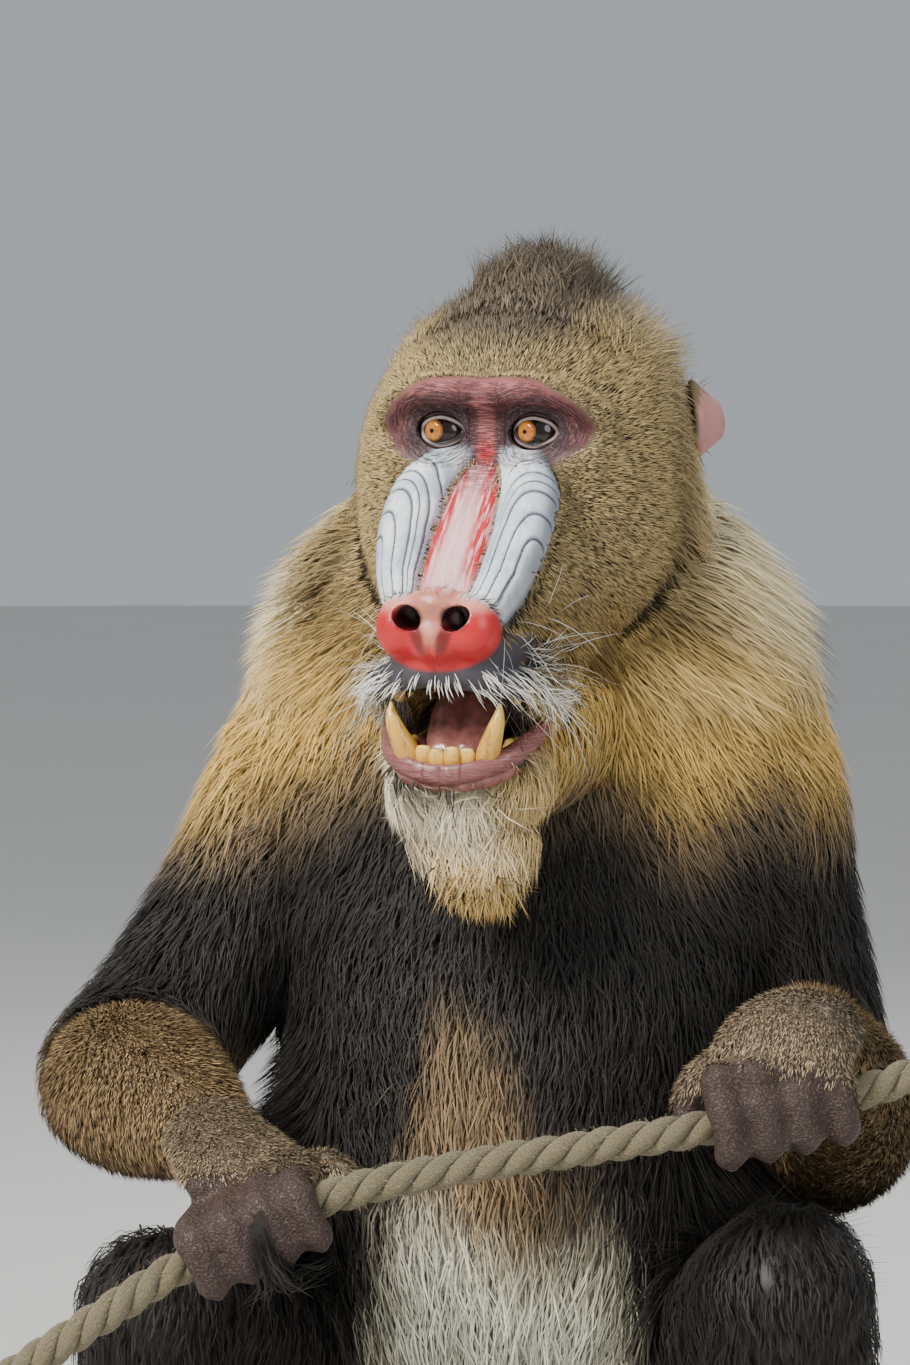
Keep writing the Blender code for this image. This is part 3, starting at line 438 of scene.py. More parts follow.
# The head's forms lie in its own frame: rings of y, half width, top and bottom, then rows as above.
head = {
    "skull": [(0.142, 0.020, 0.006, -0.034), (0.132, 0.040, 0.028, -0.064), (0.110, 0.066, 0.049, -0.092),
              (0.084, 0.081, 0.058, -0.110), (0.054, 0.084, 0.061, -0.118), (0.022, 0.077, 0.056, -0.123),
              (0.002, 0.065, 0.043, -0.119), (-0.009, 0.054, 0.029, -0.105)],
    "muzzle": [(0.030, 0.058, -0.010, -0.138), (0.000, 0.053, -0.013, -0.137),
               (-0.020, 0.046, -0.019, -0.134),
               (-0.045, 0.041, -0.041, -0.131), (-0.070, 0.036, -0.063, -0.128),
    (-0.088, 0.029, -0.082, -0.121)],
    "chin": [(0.036, 0.056, -0.106, -0.190), (0.000, 0.047, -0.122, -0.194), (-0.030, 0.039, -0.140, -0.194),
             (-0.055, 0.033, -0.154, -0.191), (-0.071, 0.025, -0.164, -0.185)],
    "ridge": [(0.017, -0.012, -0.016, 0.009, 0.009), (0.028, -0.026, -0.028, 0.014, 0.013),
              (0.031, -0.047, -0.048, 0.014, 0.013), (0.027, -0.070, -0.072, 0.012, 0.012),
              (0.019, -0.088, -0.090, 0.009, 0.009)],
    "brow": [(0.000, -0.017, 0.020, 0.008, 0.008), (0.020, -0.019, 0.022, 0.009, 0.008),
             (0.040, -0.012, 0.019, 0.009, 0.008), (0.055, 0.002, 0.007, 0.009, 0.009)],
    "cheekbone": [(0.022, -0.012, -0.020, 0.008, 0.007), (0.040, -0.007, -0.017, 0.009, 0.008),
                  (0.054, 0.004, -0.006, 0.009, 0.009)],
    "upperLip": [(0.042, -0.034, -0.134, 0.007, 0.008), (0.038, -0.064, -0.126, 0.007, 0.009),
                 (0.023, -0.086, -0.121, 0.007, 0.009), (0.000, -0.092, -0.119, 0.007, 0.008),
                 (-0.023, -0.086, -0.121, 0.007, 0.009), (-0.038, -0.064, -0.126, 0.007, 0.009),
                 (-0.042, -0.034, -0.134, 0.007, 0.008)],
    "lowerLip": [(0.041, -0.034, -0.144, 0.005, 0.006), (0.038, -0.056, -0.155, 0.005, 0.006),
                 (0.026, -0.076, -0.165, 0.006, 0.0065), (0.000, -0.084, -0.171, 0.006, 0.007),
                 (-0.026, -0.076, -0.165, 0.006, 0.0065), (-0.038, -0.056, -0.155, 0.005, 0.006),
                 (-0.041, -0.034, -0.144, 0.005, 0.006)],
    "crest": [(0, 0.014, 0.044, 0.018, 0.010), (0, 0.045, 0.055, 0.026, 0.012),
              (0, 0.080, 0.060, 0.026, 0.014),
              (0, 0.112, 0.052, 0.022, 0.012)],
    "beard": [(0, -0.046, -0.176, 0.030, 0.020), (0.003, -0.048, -0.196, 0.028, 0.016),
              (0.008, -0.051, -0.212, 0.018, 0.011)]}
mouth = [(-0.112, 0.040, -0.128, -0.164), (-0.085, 0.036, -0.127, -0.166), (-0.060, 0.034, -0.123, -0.165),
         (-0.035, 0.031, -0.118, -0.158), (-0.010, 0.022, -0.122, -0.152)]
eye = {"side": 0.025, "radius": 0.0125, "gaze": -19.0, "rise": 1.0, "iris": 27.0, "pupil": 5.2}
ear = {"place": (0.084, 0.086, 0.002), "turn": 30, "lean": -14, "height": 0.019, "depth": 0.0125,
    "thick": 0.0016}


def headForms():
    shapes = [upright(head["skull"], around=48, ends=0.06, square=2.15),
              upright(head["muzzle"], around=40, square=2.5, ends=0.25),
              upright(head["chin"], around=36, square=2.3, ends=0.3),
              tube(head["upperLip"], perSpan=6), tube(head["lowerLip"], perSpan=6),
              tube(head["crest"], across=(1, 0, 0)), tube(head["beard"], across=(1, 0, 0), up=(0, 1, 0))]
    for name in ("ridge", "brow", "cheekbone"):
        shapes += [tube(head[name], perSpan=6), tube(mirrored(head[name]), perSpan=6)]
    for side in (-1, 1):
        shapes.append(ball((side * eye["side"], 0, 0), (0.0151,) * 3))
        shapes.append(ball((side * 0.0175, -0.095, -0.0960), (0.0150, 0.0135, 0.0165)))
        shapes.append(ball((side * 0.0235, -0.088, -0.1000), (0.0085, 0.013, 0.012)))
    shapes.append(ball((0, -0.099, -0.1010), (0.014, 0.010, 0.0135)))
    shapes.append(ball((0, -0.096, -0.0830), (0.016, 0.013, 0.0085)))
    return shapes


def nostril(side):
    return tube([(side * 0.0150, -0.122, -0.0860, 0.0092, 0.0066),
                 (side * 0.0135, -0.110, -0.0895, 0.0088, 0.0064),
                 (side * 0.0115, -0.099, -0.0915, 0.0068, 0.0052),
                (side * 0.009, -0.088, -0.092, 0.0035, 0.0035)],
                around=20, ends=0.3, up=(-0.75 * side, 0, 1))


def lidOpening(side):
    rows = [(side * eye["side"], -0.036, 0.0004, 0.0142, 0.0106),
        (side * eye["side"], -0.004, 0.0004, 0.0135, 0.0100)]
    return tube(rows, across=(0.995, 0, 0.06 * side), square=1.8, around=36, perSpan=2, ends=0.2)


# Coordinates of the face: how far down the muzzle, how far out across each ridge, and how far out on the fan
# of furrows.
def faceFields(h):
    x = np.abs(h[:, 0])
    down = ((h[:, 1] + 0.012) * -0.716 + (h[:, 2] + 0.016) * -0.698) / 0.106
    proud = (h[:, 1] + 0.012) * -0.698 + (h[:, 2] + 0.016) * 0.716
    out = x + np.maximum(0, -proud - 0.004) * 0.8
    inner = np.interp(down, [-0.3, 0, 0.2, 0.5, 0.8, 1], [0.0035, 0.0066, 0.0128, 0.0155, 0.0150, 0.0125])
    outer = np.interp(down, [-0.1, 0, 0.2, 0.5, 0.8, 1], [0.024, 0.032, 0.0445, 0.0465, 0.0410, 0.0330])
    share = (out - inner) / (outer - inner)
    fan = (np.maximum(1 - share, 0) ** 3 + np.maximum(1.75 * (0.69 - down), 0) ** 3) ** (1 / 3)
    ridge = ramp(share, -0.02, 0.10) * (1 - ramp(share, 0.95, 1.10)) * ramp(down, -0.07, 0.02) * (1
        - ramp(down, 0.97, 1.06))
    bridge = (1 - ramp(share, -0.10, 0.04)) * ramp(down, -0.02, 0.10) * (1 - ramp(down, 0.98, 1.06))
    return {"down": down, "share": share, "fan": fan, "ridge": ridge, "bridge": bridge, "proud": proud}


# The furrows on the fan, each with its width
furrows = [(0.22, 0.022), (0.46, 0.026), (0.70, 0.030), (0.80, 0.014), (0.91, 0.022), (1.06, 0.020)]


def eyeRegion(h):
    # Below 1 inside the bare skin round each eye and across the brow
    x = np.abs(h[:, 0])
    z = h[:, 2]
    tall = np.where(z > 0.0035, 0.0235 - np.clip(x - 0.030, 0, 1) * 0.30, 0.0215)
    around = (np.maximum(x - 0.018, 0) / 0.036) ** 2 + ((z - 0.0035) / tall) ** 2
    return np.where(h[:, 1] < 0.025, around, 9.0)


def noseDistance(h):  # 1 on the red nose pad's rim
    return np.sqrt((h[:, 0] / 0.0325) ** 2 + ((h[:, 1] + 0.097) / 0.024) ** 2
        + ((h[:, 2] + 0.0965) / 0.0200) ** 2)


def curveDistance(points, rows, perSpan=10):
    line = curve([r[:3] for r in rows], perSpan)
    best = np.full(len(points), 9.0)
    for p in line:
        best = np.minimum(best, np.linalg.norm(points - p, axis=1))
    return best


def mouthInside(h):  # below 1 inside the mouth's hollow
    ys = [r[0] for r in mouth]
    half = np.interp(h[:, 1], ys, [r[1] for r in mouth])
    top = np.interp(h[:, 1], ys, [r[2] for r in mouth])
    low = np.interp(h[:, 1], ys, [r[3] for r in mouth])
    level = (h[:, 0] / (half + 0.001)) ** 2 + ((h[:, 2] - (top + low) / 2) / ((top - low) / 2 + 0.001)) ** 2
    return np.where((h[:, 1] > -0.086) & (h[:, 1] < -0.004), level, 9.0)


def bareFace(h):
    # 1 on the bare skin of the face, 0 under fur
    f = faceFields(h)
    front = 1 - ramp(h[:, 1], 0.018, 0.030)
    eyes = 1 - ramp(eyeRegion(h), 0.92, 1.22)
    muzzle = np.maximum(f["ridge"], f["bridge"])
    nose = 1 - ramp(noseDistance(h), 1.0, 1.18)
    lips = 1 - ramp(curveDistance(h, head["lowerLip"]), 0.0065, 0.0090)
    upper = (1 - ramp(np.abs(h[:, 0]), 0.036, 0.046)) * (1 - ramp(h[:, 1], -0.045, -0.030)) * ramp(h[:, 2],
        -0.150, -0.140) \
        * (1 - ramp(h[:, 2], -0.100, -0.086))
    return np.clip(np.maximum.reduce([eyes, muzzle, nose, lips, upper, (mouthInside(h) < 1.2) * 1.0])
        * front, 0, 1)


# Hands and feet
hands = {
    "R": {"palm": [(-0.136, -0.188, 0.277, 0.024, 0.021), (-0.122, -0.214, 0.272, 0.028, 0.019),
                   (-0.106, -0.240, 0.266, 0.034, 0.016), (-0.094, -0.260, 0.258, 0.036, 0.013)],
          "over": [(-0.121, -0.288, 0.224), (-0.056, -0.272, 0.255)],
          "knuckles": [((-0.117, -0.262, 0.245), 0.08), ((-0.103, -0.267, 0.254), 0.34),
                       ((-0.088, -0.266, 0.263), 0.60), ((-0.073, -0.260, 0.268), 0.85)],
          "thumb": [(-0.100, -0.226, 0.264, 0.011, 0.011), (-0.074, -0.238, 0.264, 0.0095, 0.0095),
                    (-0.062, -0.245, 0.266, 0.0100, 0.0100), (-0.052, -0.252, 0.264, 0.0080, 0.0080),
                    (-0.043, -0.256, 0.254, 0.0070, 0.0065)]},
    "L": {"palm": [(0.174, -0.154, 0.329, 0.024, 0.021), (0.173, -0.180, 0.335, 0.028, 0.019),
                   (0.169, -0.202, 0.332, 0.033, 0.016), (0.164, -0.218, 0.320, 0.036, 0.013)],
          "over": [(0.133, -0.224, 0.290), (0.195, -0.200, 0.303)],
          "knuckles": [((0.136, -0.233, 0.314), 0.05), ((0.154, -0.230, 0.318), 0.34),
                       ((0.172, -0.222, 0.321), 0.62), ((0.190, -0.211, 0.320), 0.92)],
          "thumb": [(0.150, -0.190, 0.326, 0.011, 0.011), (0.130, -0.200, 0.316, 0.0095, 0.0095),
                    (0.123, -0.206, 0.309, 0.0100, 0.0100), (0.118, -0.212, 0.299, 0.0085, 0.0085),
                    (0.117, -0.218, 0.283, 0.0070, 0.0065)]}}
fingerSizes = {"radius": 0.0088, "wrap": (58, 30, 8, -20, -45, -75, -100),
    "swell": (0.98, 1.10, 0.96, 0.92, 1.02, 0.86, 0.74)}


def fingerRows(hand, knuckle, at):
    # From the knuckle over the rope and on round it: the rope's point plus a reach turned by each angle in
    # turn.
    start, end = np.array(hand["over"])
    along = unit(end - start)
    centre = start + (end - start) * at
    over = unit(np.array([0, 0, 1.0]) - along[2] * along)
    ahead = np.cross(over, along)
    ahead = ahead if ahead[1] < 0 else -ahead
    angle = np.radians(fingerSizes["wrap"])
    thick = fingerSizes["radius"] * np.array(fingerSizes["swell"])
    reach = ropeSizes["radius"] + thick * 0.93
    points = centre + reach[:, None] * (np.cos(angle)[:, None] * ahead + np.sin(angle)[:, None] * over)
    rows = [tuple(knuckle) + (0.0100, 0.0094)]
    return rows + [tuple(p) + (t, t) for p, t in zip(points, thick)]


def handForms(side):
    hand = hands[side]
    shapes = [tube(hand["palm"], up=(0.2, -0.35, 1.0)), tube(hand["thumb"], around=16)]
    for point, at in hand["knuckles"]:
        rows = fingerRows(hand, point, at)
        shapes.append(tube(rows, around=18, ends=0.9))
        back = np.array(hand["palm"][1][:3]) * 0.35 + np.array(point) * 0.65
        shapes.append(tube([tuple(back) + (0.006, 0.006), tuple(np.array(point) + (0, 0, 0.001))
            + (0.0095, 0.009)], around=14))
    return shapes


def toeRows(name):
    rows = np.array(feet[name])
    ahead = rows[-1, :3] - rows[-2, :3]
    ahead[2] = 0
    ahead = unit(ahead)
    across = np.array([-ahead[1], ahead[0], 0])
    toes = []
    for off, reach in ((-0.026, 0.030), (-0.009, 0.042), (0.009, 0.044), (0.027, 0.036)):
        start = rows[-1, :3] + across * off - ahead * 0.006
        mid, tip = start + ahead * reach * 0.55, start + ahead * reach
        toes.append([tuple(start) + (0.0095, 0.0105), (mid[0], mid[1], 0.018, 0.0084, 0.0086),
                     (tip[0], tip[1], 0.0082, 0.0076, 0.0080)])
    inward = -1.0 if name == "footLeft" else 1.0
    start = rows[1, :3] + (inward * 0.018, -0.020, -0.008)
    mid = start + (inward * 0.022, -0.030, -0.004)
    tip = mid + (inward * 0.006, -0.034, 0)
    toes.append([tuple(start) + (0.0135, 0.0145), tuple(mid) + (0.0115, 0.0115),
        (tip[0], tip[1], 0.0095, 0.0095, 0.0092)])
    return toes


def footForms(name):
    return [tube(feet[name], around=28)] + [tube(rows, around=18) for rows in toeRows(name)]


def earForm(side):
    # A cup: radius out from its middle, turned round it, dished back, with a rolled rim and a pointed tip.
    s = np.array([0.0, 0.25, 0.5, 0.72, 0.88, 0.97, 1.0, 0.97, 0.88, 0.70, 0.45, 0.2])
    back = np.array([0.0, 0.0005, 0.002, 0.0042, 0.0056, 0.0050, 0.0040, 0.0030, 0.0020, 0.0, -0.0030,
        -0.0045]) * -1
    angle = np.arange(40) * 2 * math.pi / 40
    tip = 1 + 0.24 * np.exp(-((angle - math.radians(100)) / 0.34) ** 2)
    y = s[:, None] * np.cos(angle) * ear["depth"] * tip
    z = s[:, None] * np.sin(angle) * ear["height"] * tip
    fold = 0.0012 * np.cos(3 * angle)[None, :] * (s[:, None] > 0.3) * (s[:, None] < 0.8)
    x = side * (back[:, None] * 1.9 + fold + 0.002) * np.ones_like(y)
    points = np.stack([x[1:], y[1:], z[1:]], axis=-1).reshape(-1, 3)
    poles = [(side * 0.002, 0, 0), (side * (back[-1] * 1.9 + 0.001), 0, 0)]
    place = Matrix.Translation((side * (ear["place"][0] + 0.004), ear["place"][1] + 0.004, ear["place"][2])) \
        @ Matrix.Rotation(math.radians(side * ear["turn"]), 4, "Z") @ Matrix.Rotation(
        math.radians(ear["lean"]), 4, "X")
    rings = len(s) - 1
    return moved(np.vstack([points, poles]), place), gridFaces(rings, 40) + capFaces(rings, 40)


def inWorld(shapes):
    return [(moved(p, headPlace), f) for p, f in shapes]


def subdivided(obj, chosen):
    # Splits the chosen faces in four, so that the face has points enough for its folds.
    bm = bmesh.new()
    bm.from_mesh(obj.data)
    bm.faces.ensure_lookup_table()
    edges = {e for i in np.flatnonzero(chosen).tolist() for e in bm.faces[i].edges}
    bmesh.ops.subdivide_edges(bm, edges=list(edges), cuts=1, use_grid_fill=True)
    bm.to_mesh(obj.data)
    bm.free()
    return obj


def faceCentres(mesh):
    values = np.empty(len(mesh.polygons) * 3)
    mesh.polygons.foreach_get("center", values)
    return values.reshape(-1, 3)


def buildSkin():
    skull = fused("Skull", inWorld(headForms()), 0.0026, 5)
    cut(skull, inWorld([upright(mouth, around=36)])[0])
    for side in (-1, 1):
        cut(skull, inWorld([ball((side * eye["side"], 0, 0), (0.0137,) * 3)])[0])
        cut(skull, inWorld([lidOpening(side)])[0])
        cut(skull, inWorld([nostril(side)])[0])
    h = inHead(faceCentres(skull.data))
    subdivided(skull, (bareFace(h) > 0.02) & (h[:, 1] < 0.03))
    soften = skull.modifiers.new("Soften", "SMOOTH")
    soften.factor = 0.5
    soften.iterations = 3
    applied(skull)
    carveFace(skull.data)
    print("the head is shaped:", len(skull.data.polygons), "faces")
    body = fused("Body", [tube(torso, around=48, across=(1, 0, 0), up=(0, 1, 0), ends=0.3)]
                 + [tube(rows) for rows in limbs.values()], 0.0075, 6)
    print("the body is shaped:", len(body.data.polygons), "faces")
    for side in ("R", "L"):
        cut(body, fused("Hand", handForms(side), 0.0030, 4), "UNION")
    for name in feet:
        cut(body, fused("Foot", footForms(name), 0.0034, 4), "UNION")
    for side in (-1, 1):
        cut(skull, inWorld([earForm(side)])[0], "UNION")
    cut(body, skull, "UNION")
    body.name = "skin"
    points = vertexArray(body.data)
    points[:, 2] = np.maximum(points[:, 2], 0.0004)
    setPoints(body.data, points)
    body.data.polygons.foreach_set("use_smooth", np.ones(len(body.data.polygons), bool))
    triangles = sum(len(p.vertices) - 2 for p in body.data.polygons)
    print("the skin is grown:", triangles, "triangles")
    return body


def carveFace(mesh):
    # Moves each point of the face along its normal: furrows cut into the ridges, folds between the eyes and
    # under them.
    points, normals = vertexArray(mesh), vertexArray(mesh, "normal")
    h = inHead(points)
    f = faceFields(h)
    out = np.zeros(len(h))
    for at, width in furrows:
        out -= 0.0013 * (width / 0.026) * np.exp(-((f["fan"] - at) / width) ** 2)
    out += 0.0012
    out *= f["ridge"]
    out -= 0.0016 * np.exp(-(f["share"] / 0.06) ** 2) * ramp(f["down"], 0.0,
        0.1) * (1 - ramp(f["down"], 0.9, 1.0))
    front = 1 - ramp(h[:, 1], 0.0, 0.012)
    between = (1 - ramp(np.abs(h[:, 0]), 0.006, 0.012)) * ramp(h[:, 2], -0.024, -0.014) * (1
        - ramp(h[:, 2], 0.018, 0.026))
    out += 0.00060 * np.sin((h[:, 2] + 12 * h[:, 0] ** 2) * 2 * math.pi / 0.0030) * between * front
    x = np.abs(h[:, 0]) - eye["side"]
    far = np.sqrt(x ** 2 + (h[:, 2] * 1.25) ** 2)
    under = ramp(far, 0.014, 0.017) * (1 - ramp(far, 0.024, 0.030)) * ramp(-h[:, 2], 0.002, 0.008)
    out += 0.0004 * np.sin(far * 2 * math.pi / 0.0032) * under * front
    out += 0.0003 * np.sin(h[:, 0] * 2 * math.pi / 0.0045 + 40 * h[:, 2]) * f["bridge"]
    out -= 0.0016 * np.exp(-(h[:, 0] / 0.0014) ** 2) * ramp(-h[:, 1], 0.085, 0.092) * ramp(-h[:, 2], 0.101,
        0.108)
    setPoints(mesh, points + normals * out[:, None])


# Markings, worked out once for the skin and the coat alike
shades = {"olive": (0.265, 0.195, 0.088), "crown": (0.085, 0.066, 0.046), "jowl": (0.190, 0.125, 0.045),
          "cream": (0.820, 0.710, 0.440), "gold": (0.680, 0.430, 0.115), "brown": (0.150, 0.105, 0.060),
          "black": (0.022, 0.019, 0.016), "back": (0.085, 0.072, 0.048), "bellyGold": (0.230, 0.155, 0.080),
          "bellyWhite": (0.740, 0.720, 0.570), "ochre": (0.230, 0.155, 0.075), "hand": (0.240, 0.180, 0.110),
          "leg": (0.022, 0.018, 0.015), "beard": (0.780, 0.690, 0.500), "beardGold": (0.640, 0.420, 0.140),
          "tail": (0.100, 0.080, 0.045), "nape": (0.165, 0.128, 0.068)}


def toward(colour, name, share):
    return colour + (np.array(shades[name]) - colour) * share[:, None]


def partsOf(points):
    # Which limb each point lies nearest to, as a share of that limb's own thickness, and the way on down it.
    best = np.full(len(points), 9.0)
    part = np.full(len(points), "torso", dtype="<U12")
    ahead = np.tile(np.array([0, 0, -1.0]), (len(points), 1))
    line = curve(torso, 5)
    for k in range(len(line)):
        flat = np.sqrt(((points[:, 0] - line[k, 0]) / line[k, 3]) ** 2
                       + ((points[:, 1] - line[k, 1]) / line[k, 4]) ** 2
                       + ((points[:, 2] - line[k, 2]) / 0.02) ** 2 * 0.4)
        best = np.minimum(best, flat)
    for name, rows in list(limbs.items()) + list(feet.items()):
        line = curve(rows, 5)
        way = unit(np.gradient(line[:, :3], axis=0))
        for k in range(len(line)):
            far = np.linalg.norm(points - line[k, :3], axis=1) / max(line[k, 3], line[k, 4])
            nearer = far < best
            best = np.where(nearer, far, best)
            part[nearer] = name
            ahead[nearer] = way[k]
    for name, side in (("handRight", "R"), ("handLeft", "L")):
        line = np.array([r[:3] for r in hands[side]["palm"]] + [k[0] for k in hands[side]["knuckles"]]
                        + hands[side]["over"])
        way = unit(line[3] - line[0])
        near = np.min(np.linalg.norm(points[:, None] - line[None], axis=2), axis=1)
        chosen = (near < 0.040) & (points @ way > line[0] @ way + 0.004)
        part[chosen] = name
        ahead[chosen] = way
    h = inHead(points)
    onHead = (points[:, 2] > 0.50) & (h[:, 2] > -0.115 - 0.25 * np.maximum(h[:, 1], 0)) & (h[:, 1] >
        -0.14) | \
        (np.abs(h[:, 0]) < 0.055) & (h[:, 1] < -0.030) & (h[:, 1] > -0.14) & (h[:, 2] > -0.235)
    part[onHead & (np.abs(h[:, 0]) < 0.105) & (h[:, 1] < 0.16)] = "head"
    return part, ahead


def coatColour(points, part):
    h = inHead(points)
    x, y, z = points.T
    wave = 0.012 * np.sin(x * 31 + 1.0) + 0.008 * np.sin(y * 47 + x * 60)
    # The trunk: dark grey below, a golden then cream mantle over the shoulders, gold and white down the
    # front.
    colour = np.tile(np.array(shades["black"]), (len(points), 1))
    behind = ramp(y, 0.0, 0.06)
    colour = toward(colour, "back", behind)
    level = z + wave - 0.030 * ramp(-y, -0.02, 0.10) * (1 - ramp(np.abs(x), 0.03, 0.09))
    colour = toward(colour, "brown", ramp(level, 0.400, 0.440))
    colour = toward(colour, "gold", ramp(level, 0.430, 0.480))
    colour = toward(colour, "cream", ramp(level, 0.475, 0.545)
        * (0.30 + 0.70 * ramp(np.abs(x - 0.01), 0.07, 0.12)))
    colour = toward(colour, "nape", behind * ramp(z, 0.36, 0.46) * 0.9)
    front = ramp(-y, 0.02, 0.07) * (1 - ramp(z + wave, 0.315, 0.375))
    middle = 1 - ramp(np.abs(x + 0.004 + wave), 0.012 + 0.26 * np.clip(0.35 - z, 0, 0.17), 0.040 + 0.30
        * np.clip(0.35 - z, 0, 0.17))
    colour = toward(colour, "bellyGold", front * middle)
    colour = toward(colour, "bellyWhite", front * middle * (1 - ramp(z + wave, 0.215, 0.275)))
    # The head: olive, darker over the crown, with a pale ruff behind the cheeks.
    onHead = (part == "head").astype(float)
    colour = toward(colour, "olive", onHead)
    crown = ramp(h[:, 2], 0.030, 0.052) * (1 - ramp(np.abs(h[:, 0] + 0.004), 0.030, 0.062))
    colour = toward(colour, "crown", onHead * crown)
    low = ramp(-h[:, 2], 0.060, 0.100) * (1 - ramp(h[:, 1], 0.050, 0.085))
    colour = toward(colour, "jowl", onHead * low * 0.85)
    side = np.maximum(ramp(h[:, 1], 0.040, 0.085) * ramp(-h[:, 2], -0.010, 0.045),
        ramp(-h[:, 2], 0.095, 0.130) * ramp(h[:, 1], 0.0, 0.04))
    colour = toward(colour, "gold", onHead * side * 0.8)
    colour = toward(colour, "cream", onHead * side * ramp(np.abs(h[:, 0] + 0.02), 0.05, 0.09) * 0.85)
    colour = toward(colour, "gold", onHead * ramp(-h[:, 2], 0.088, 0.118) * ramp(h[:, 1], -0.005, 0.030)
        * 0.7)
    colour = toward(colour, "nape", onHead * ramp(h[:, 1], 0.105, 0.135))
    chin = onHead * ramp(-h[:, 2], 0.120, 0.140) * (1 - ramp(h[:, 1], -0.020, 0.010))
    colour = toward(colour, "beard", chin)
    colour = toward(colour, "beardGold", chin * np.maximum(ramp(-h[:, 2], 0.180, 0.215),
        ramp(h[:, 0], 0.010, 0.034) * 0.85))
    # The limbs
    for name, shade in (("arm", "black"), ("fore", "ochre"), ("hand", "hand"), ("thigh", "leg"),
                        ("shin", "leg"),
                        ("foot", "leg"), ("tail", "tail")):
        chosen = np.char.startswith(part, name).astype(float)
        if name == "arm":
            chosen = chosen * (1 - ramp(level, 0.395, 0.440))
        colour = toward(colour, shade, chosen)
    elbow = np.char.startswith(part, "arm") * ramp(-z, -0.335, -0.285)
    return toward(colour, "ochre", elbow * 0.8)


# Bare skin of the face, hands and feet
bare = {"brow": (0.150, 0.042, 0.042), "browTop": (0.470, 0.150, 0.150), "socket": (0.050, 0.028, 0.032),
        "under": (0.190, 0.125, 0.130), "scarlet": (0.680, 0.022, 0.032), "pink": (0.950, 0.560, 0.570),
        "nose": (0.640, 0.014, 0.018), "noseTop": (0.930, 0.330, 0.250), "septum": (0.620, 0.230, 0.150),
        "nostril": (0.110, 0.012, 0.010),
        "lip": (0.320, 0.105, 0.098), "muzzle": (0.060, 0.055, 0.068), "cheek": (0.075, 0.068, 0.062),
        "gum": (0.300, 0.090, 0.080), "black": (0.006, 0.004, 0.004), "palm": (0.060, 0.036, 0.023),
        "ridge": (0.560, 0.640, 0.740), "ear": (0.520, 0.235, 0.215), "rumpBlue": (0.200, 0.230, 0.520),
        "rumpRed": (0.560, 0.080, 0.110)}


def tinted(colour, name, share):
    return colour + (np.array(bare[name]) - colour) * share[:, None]


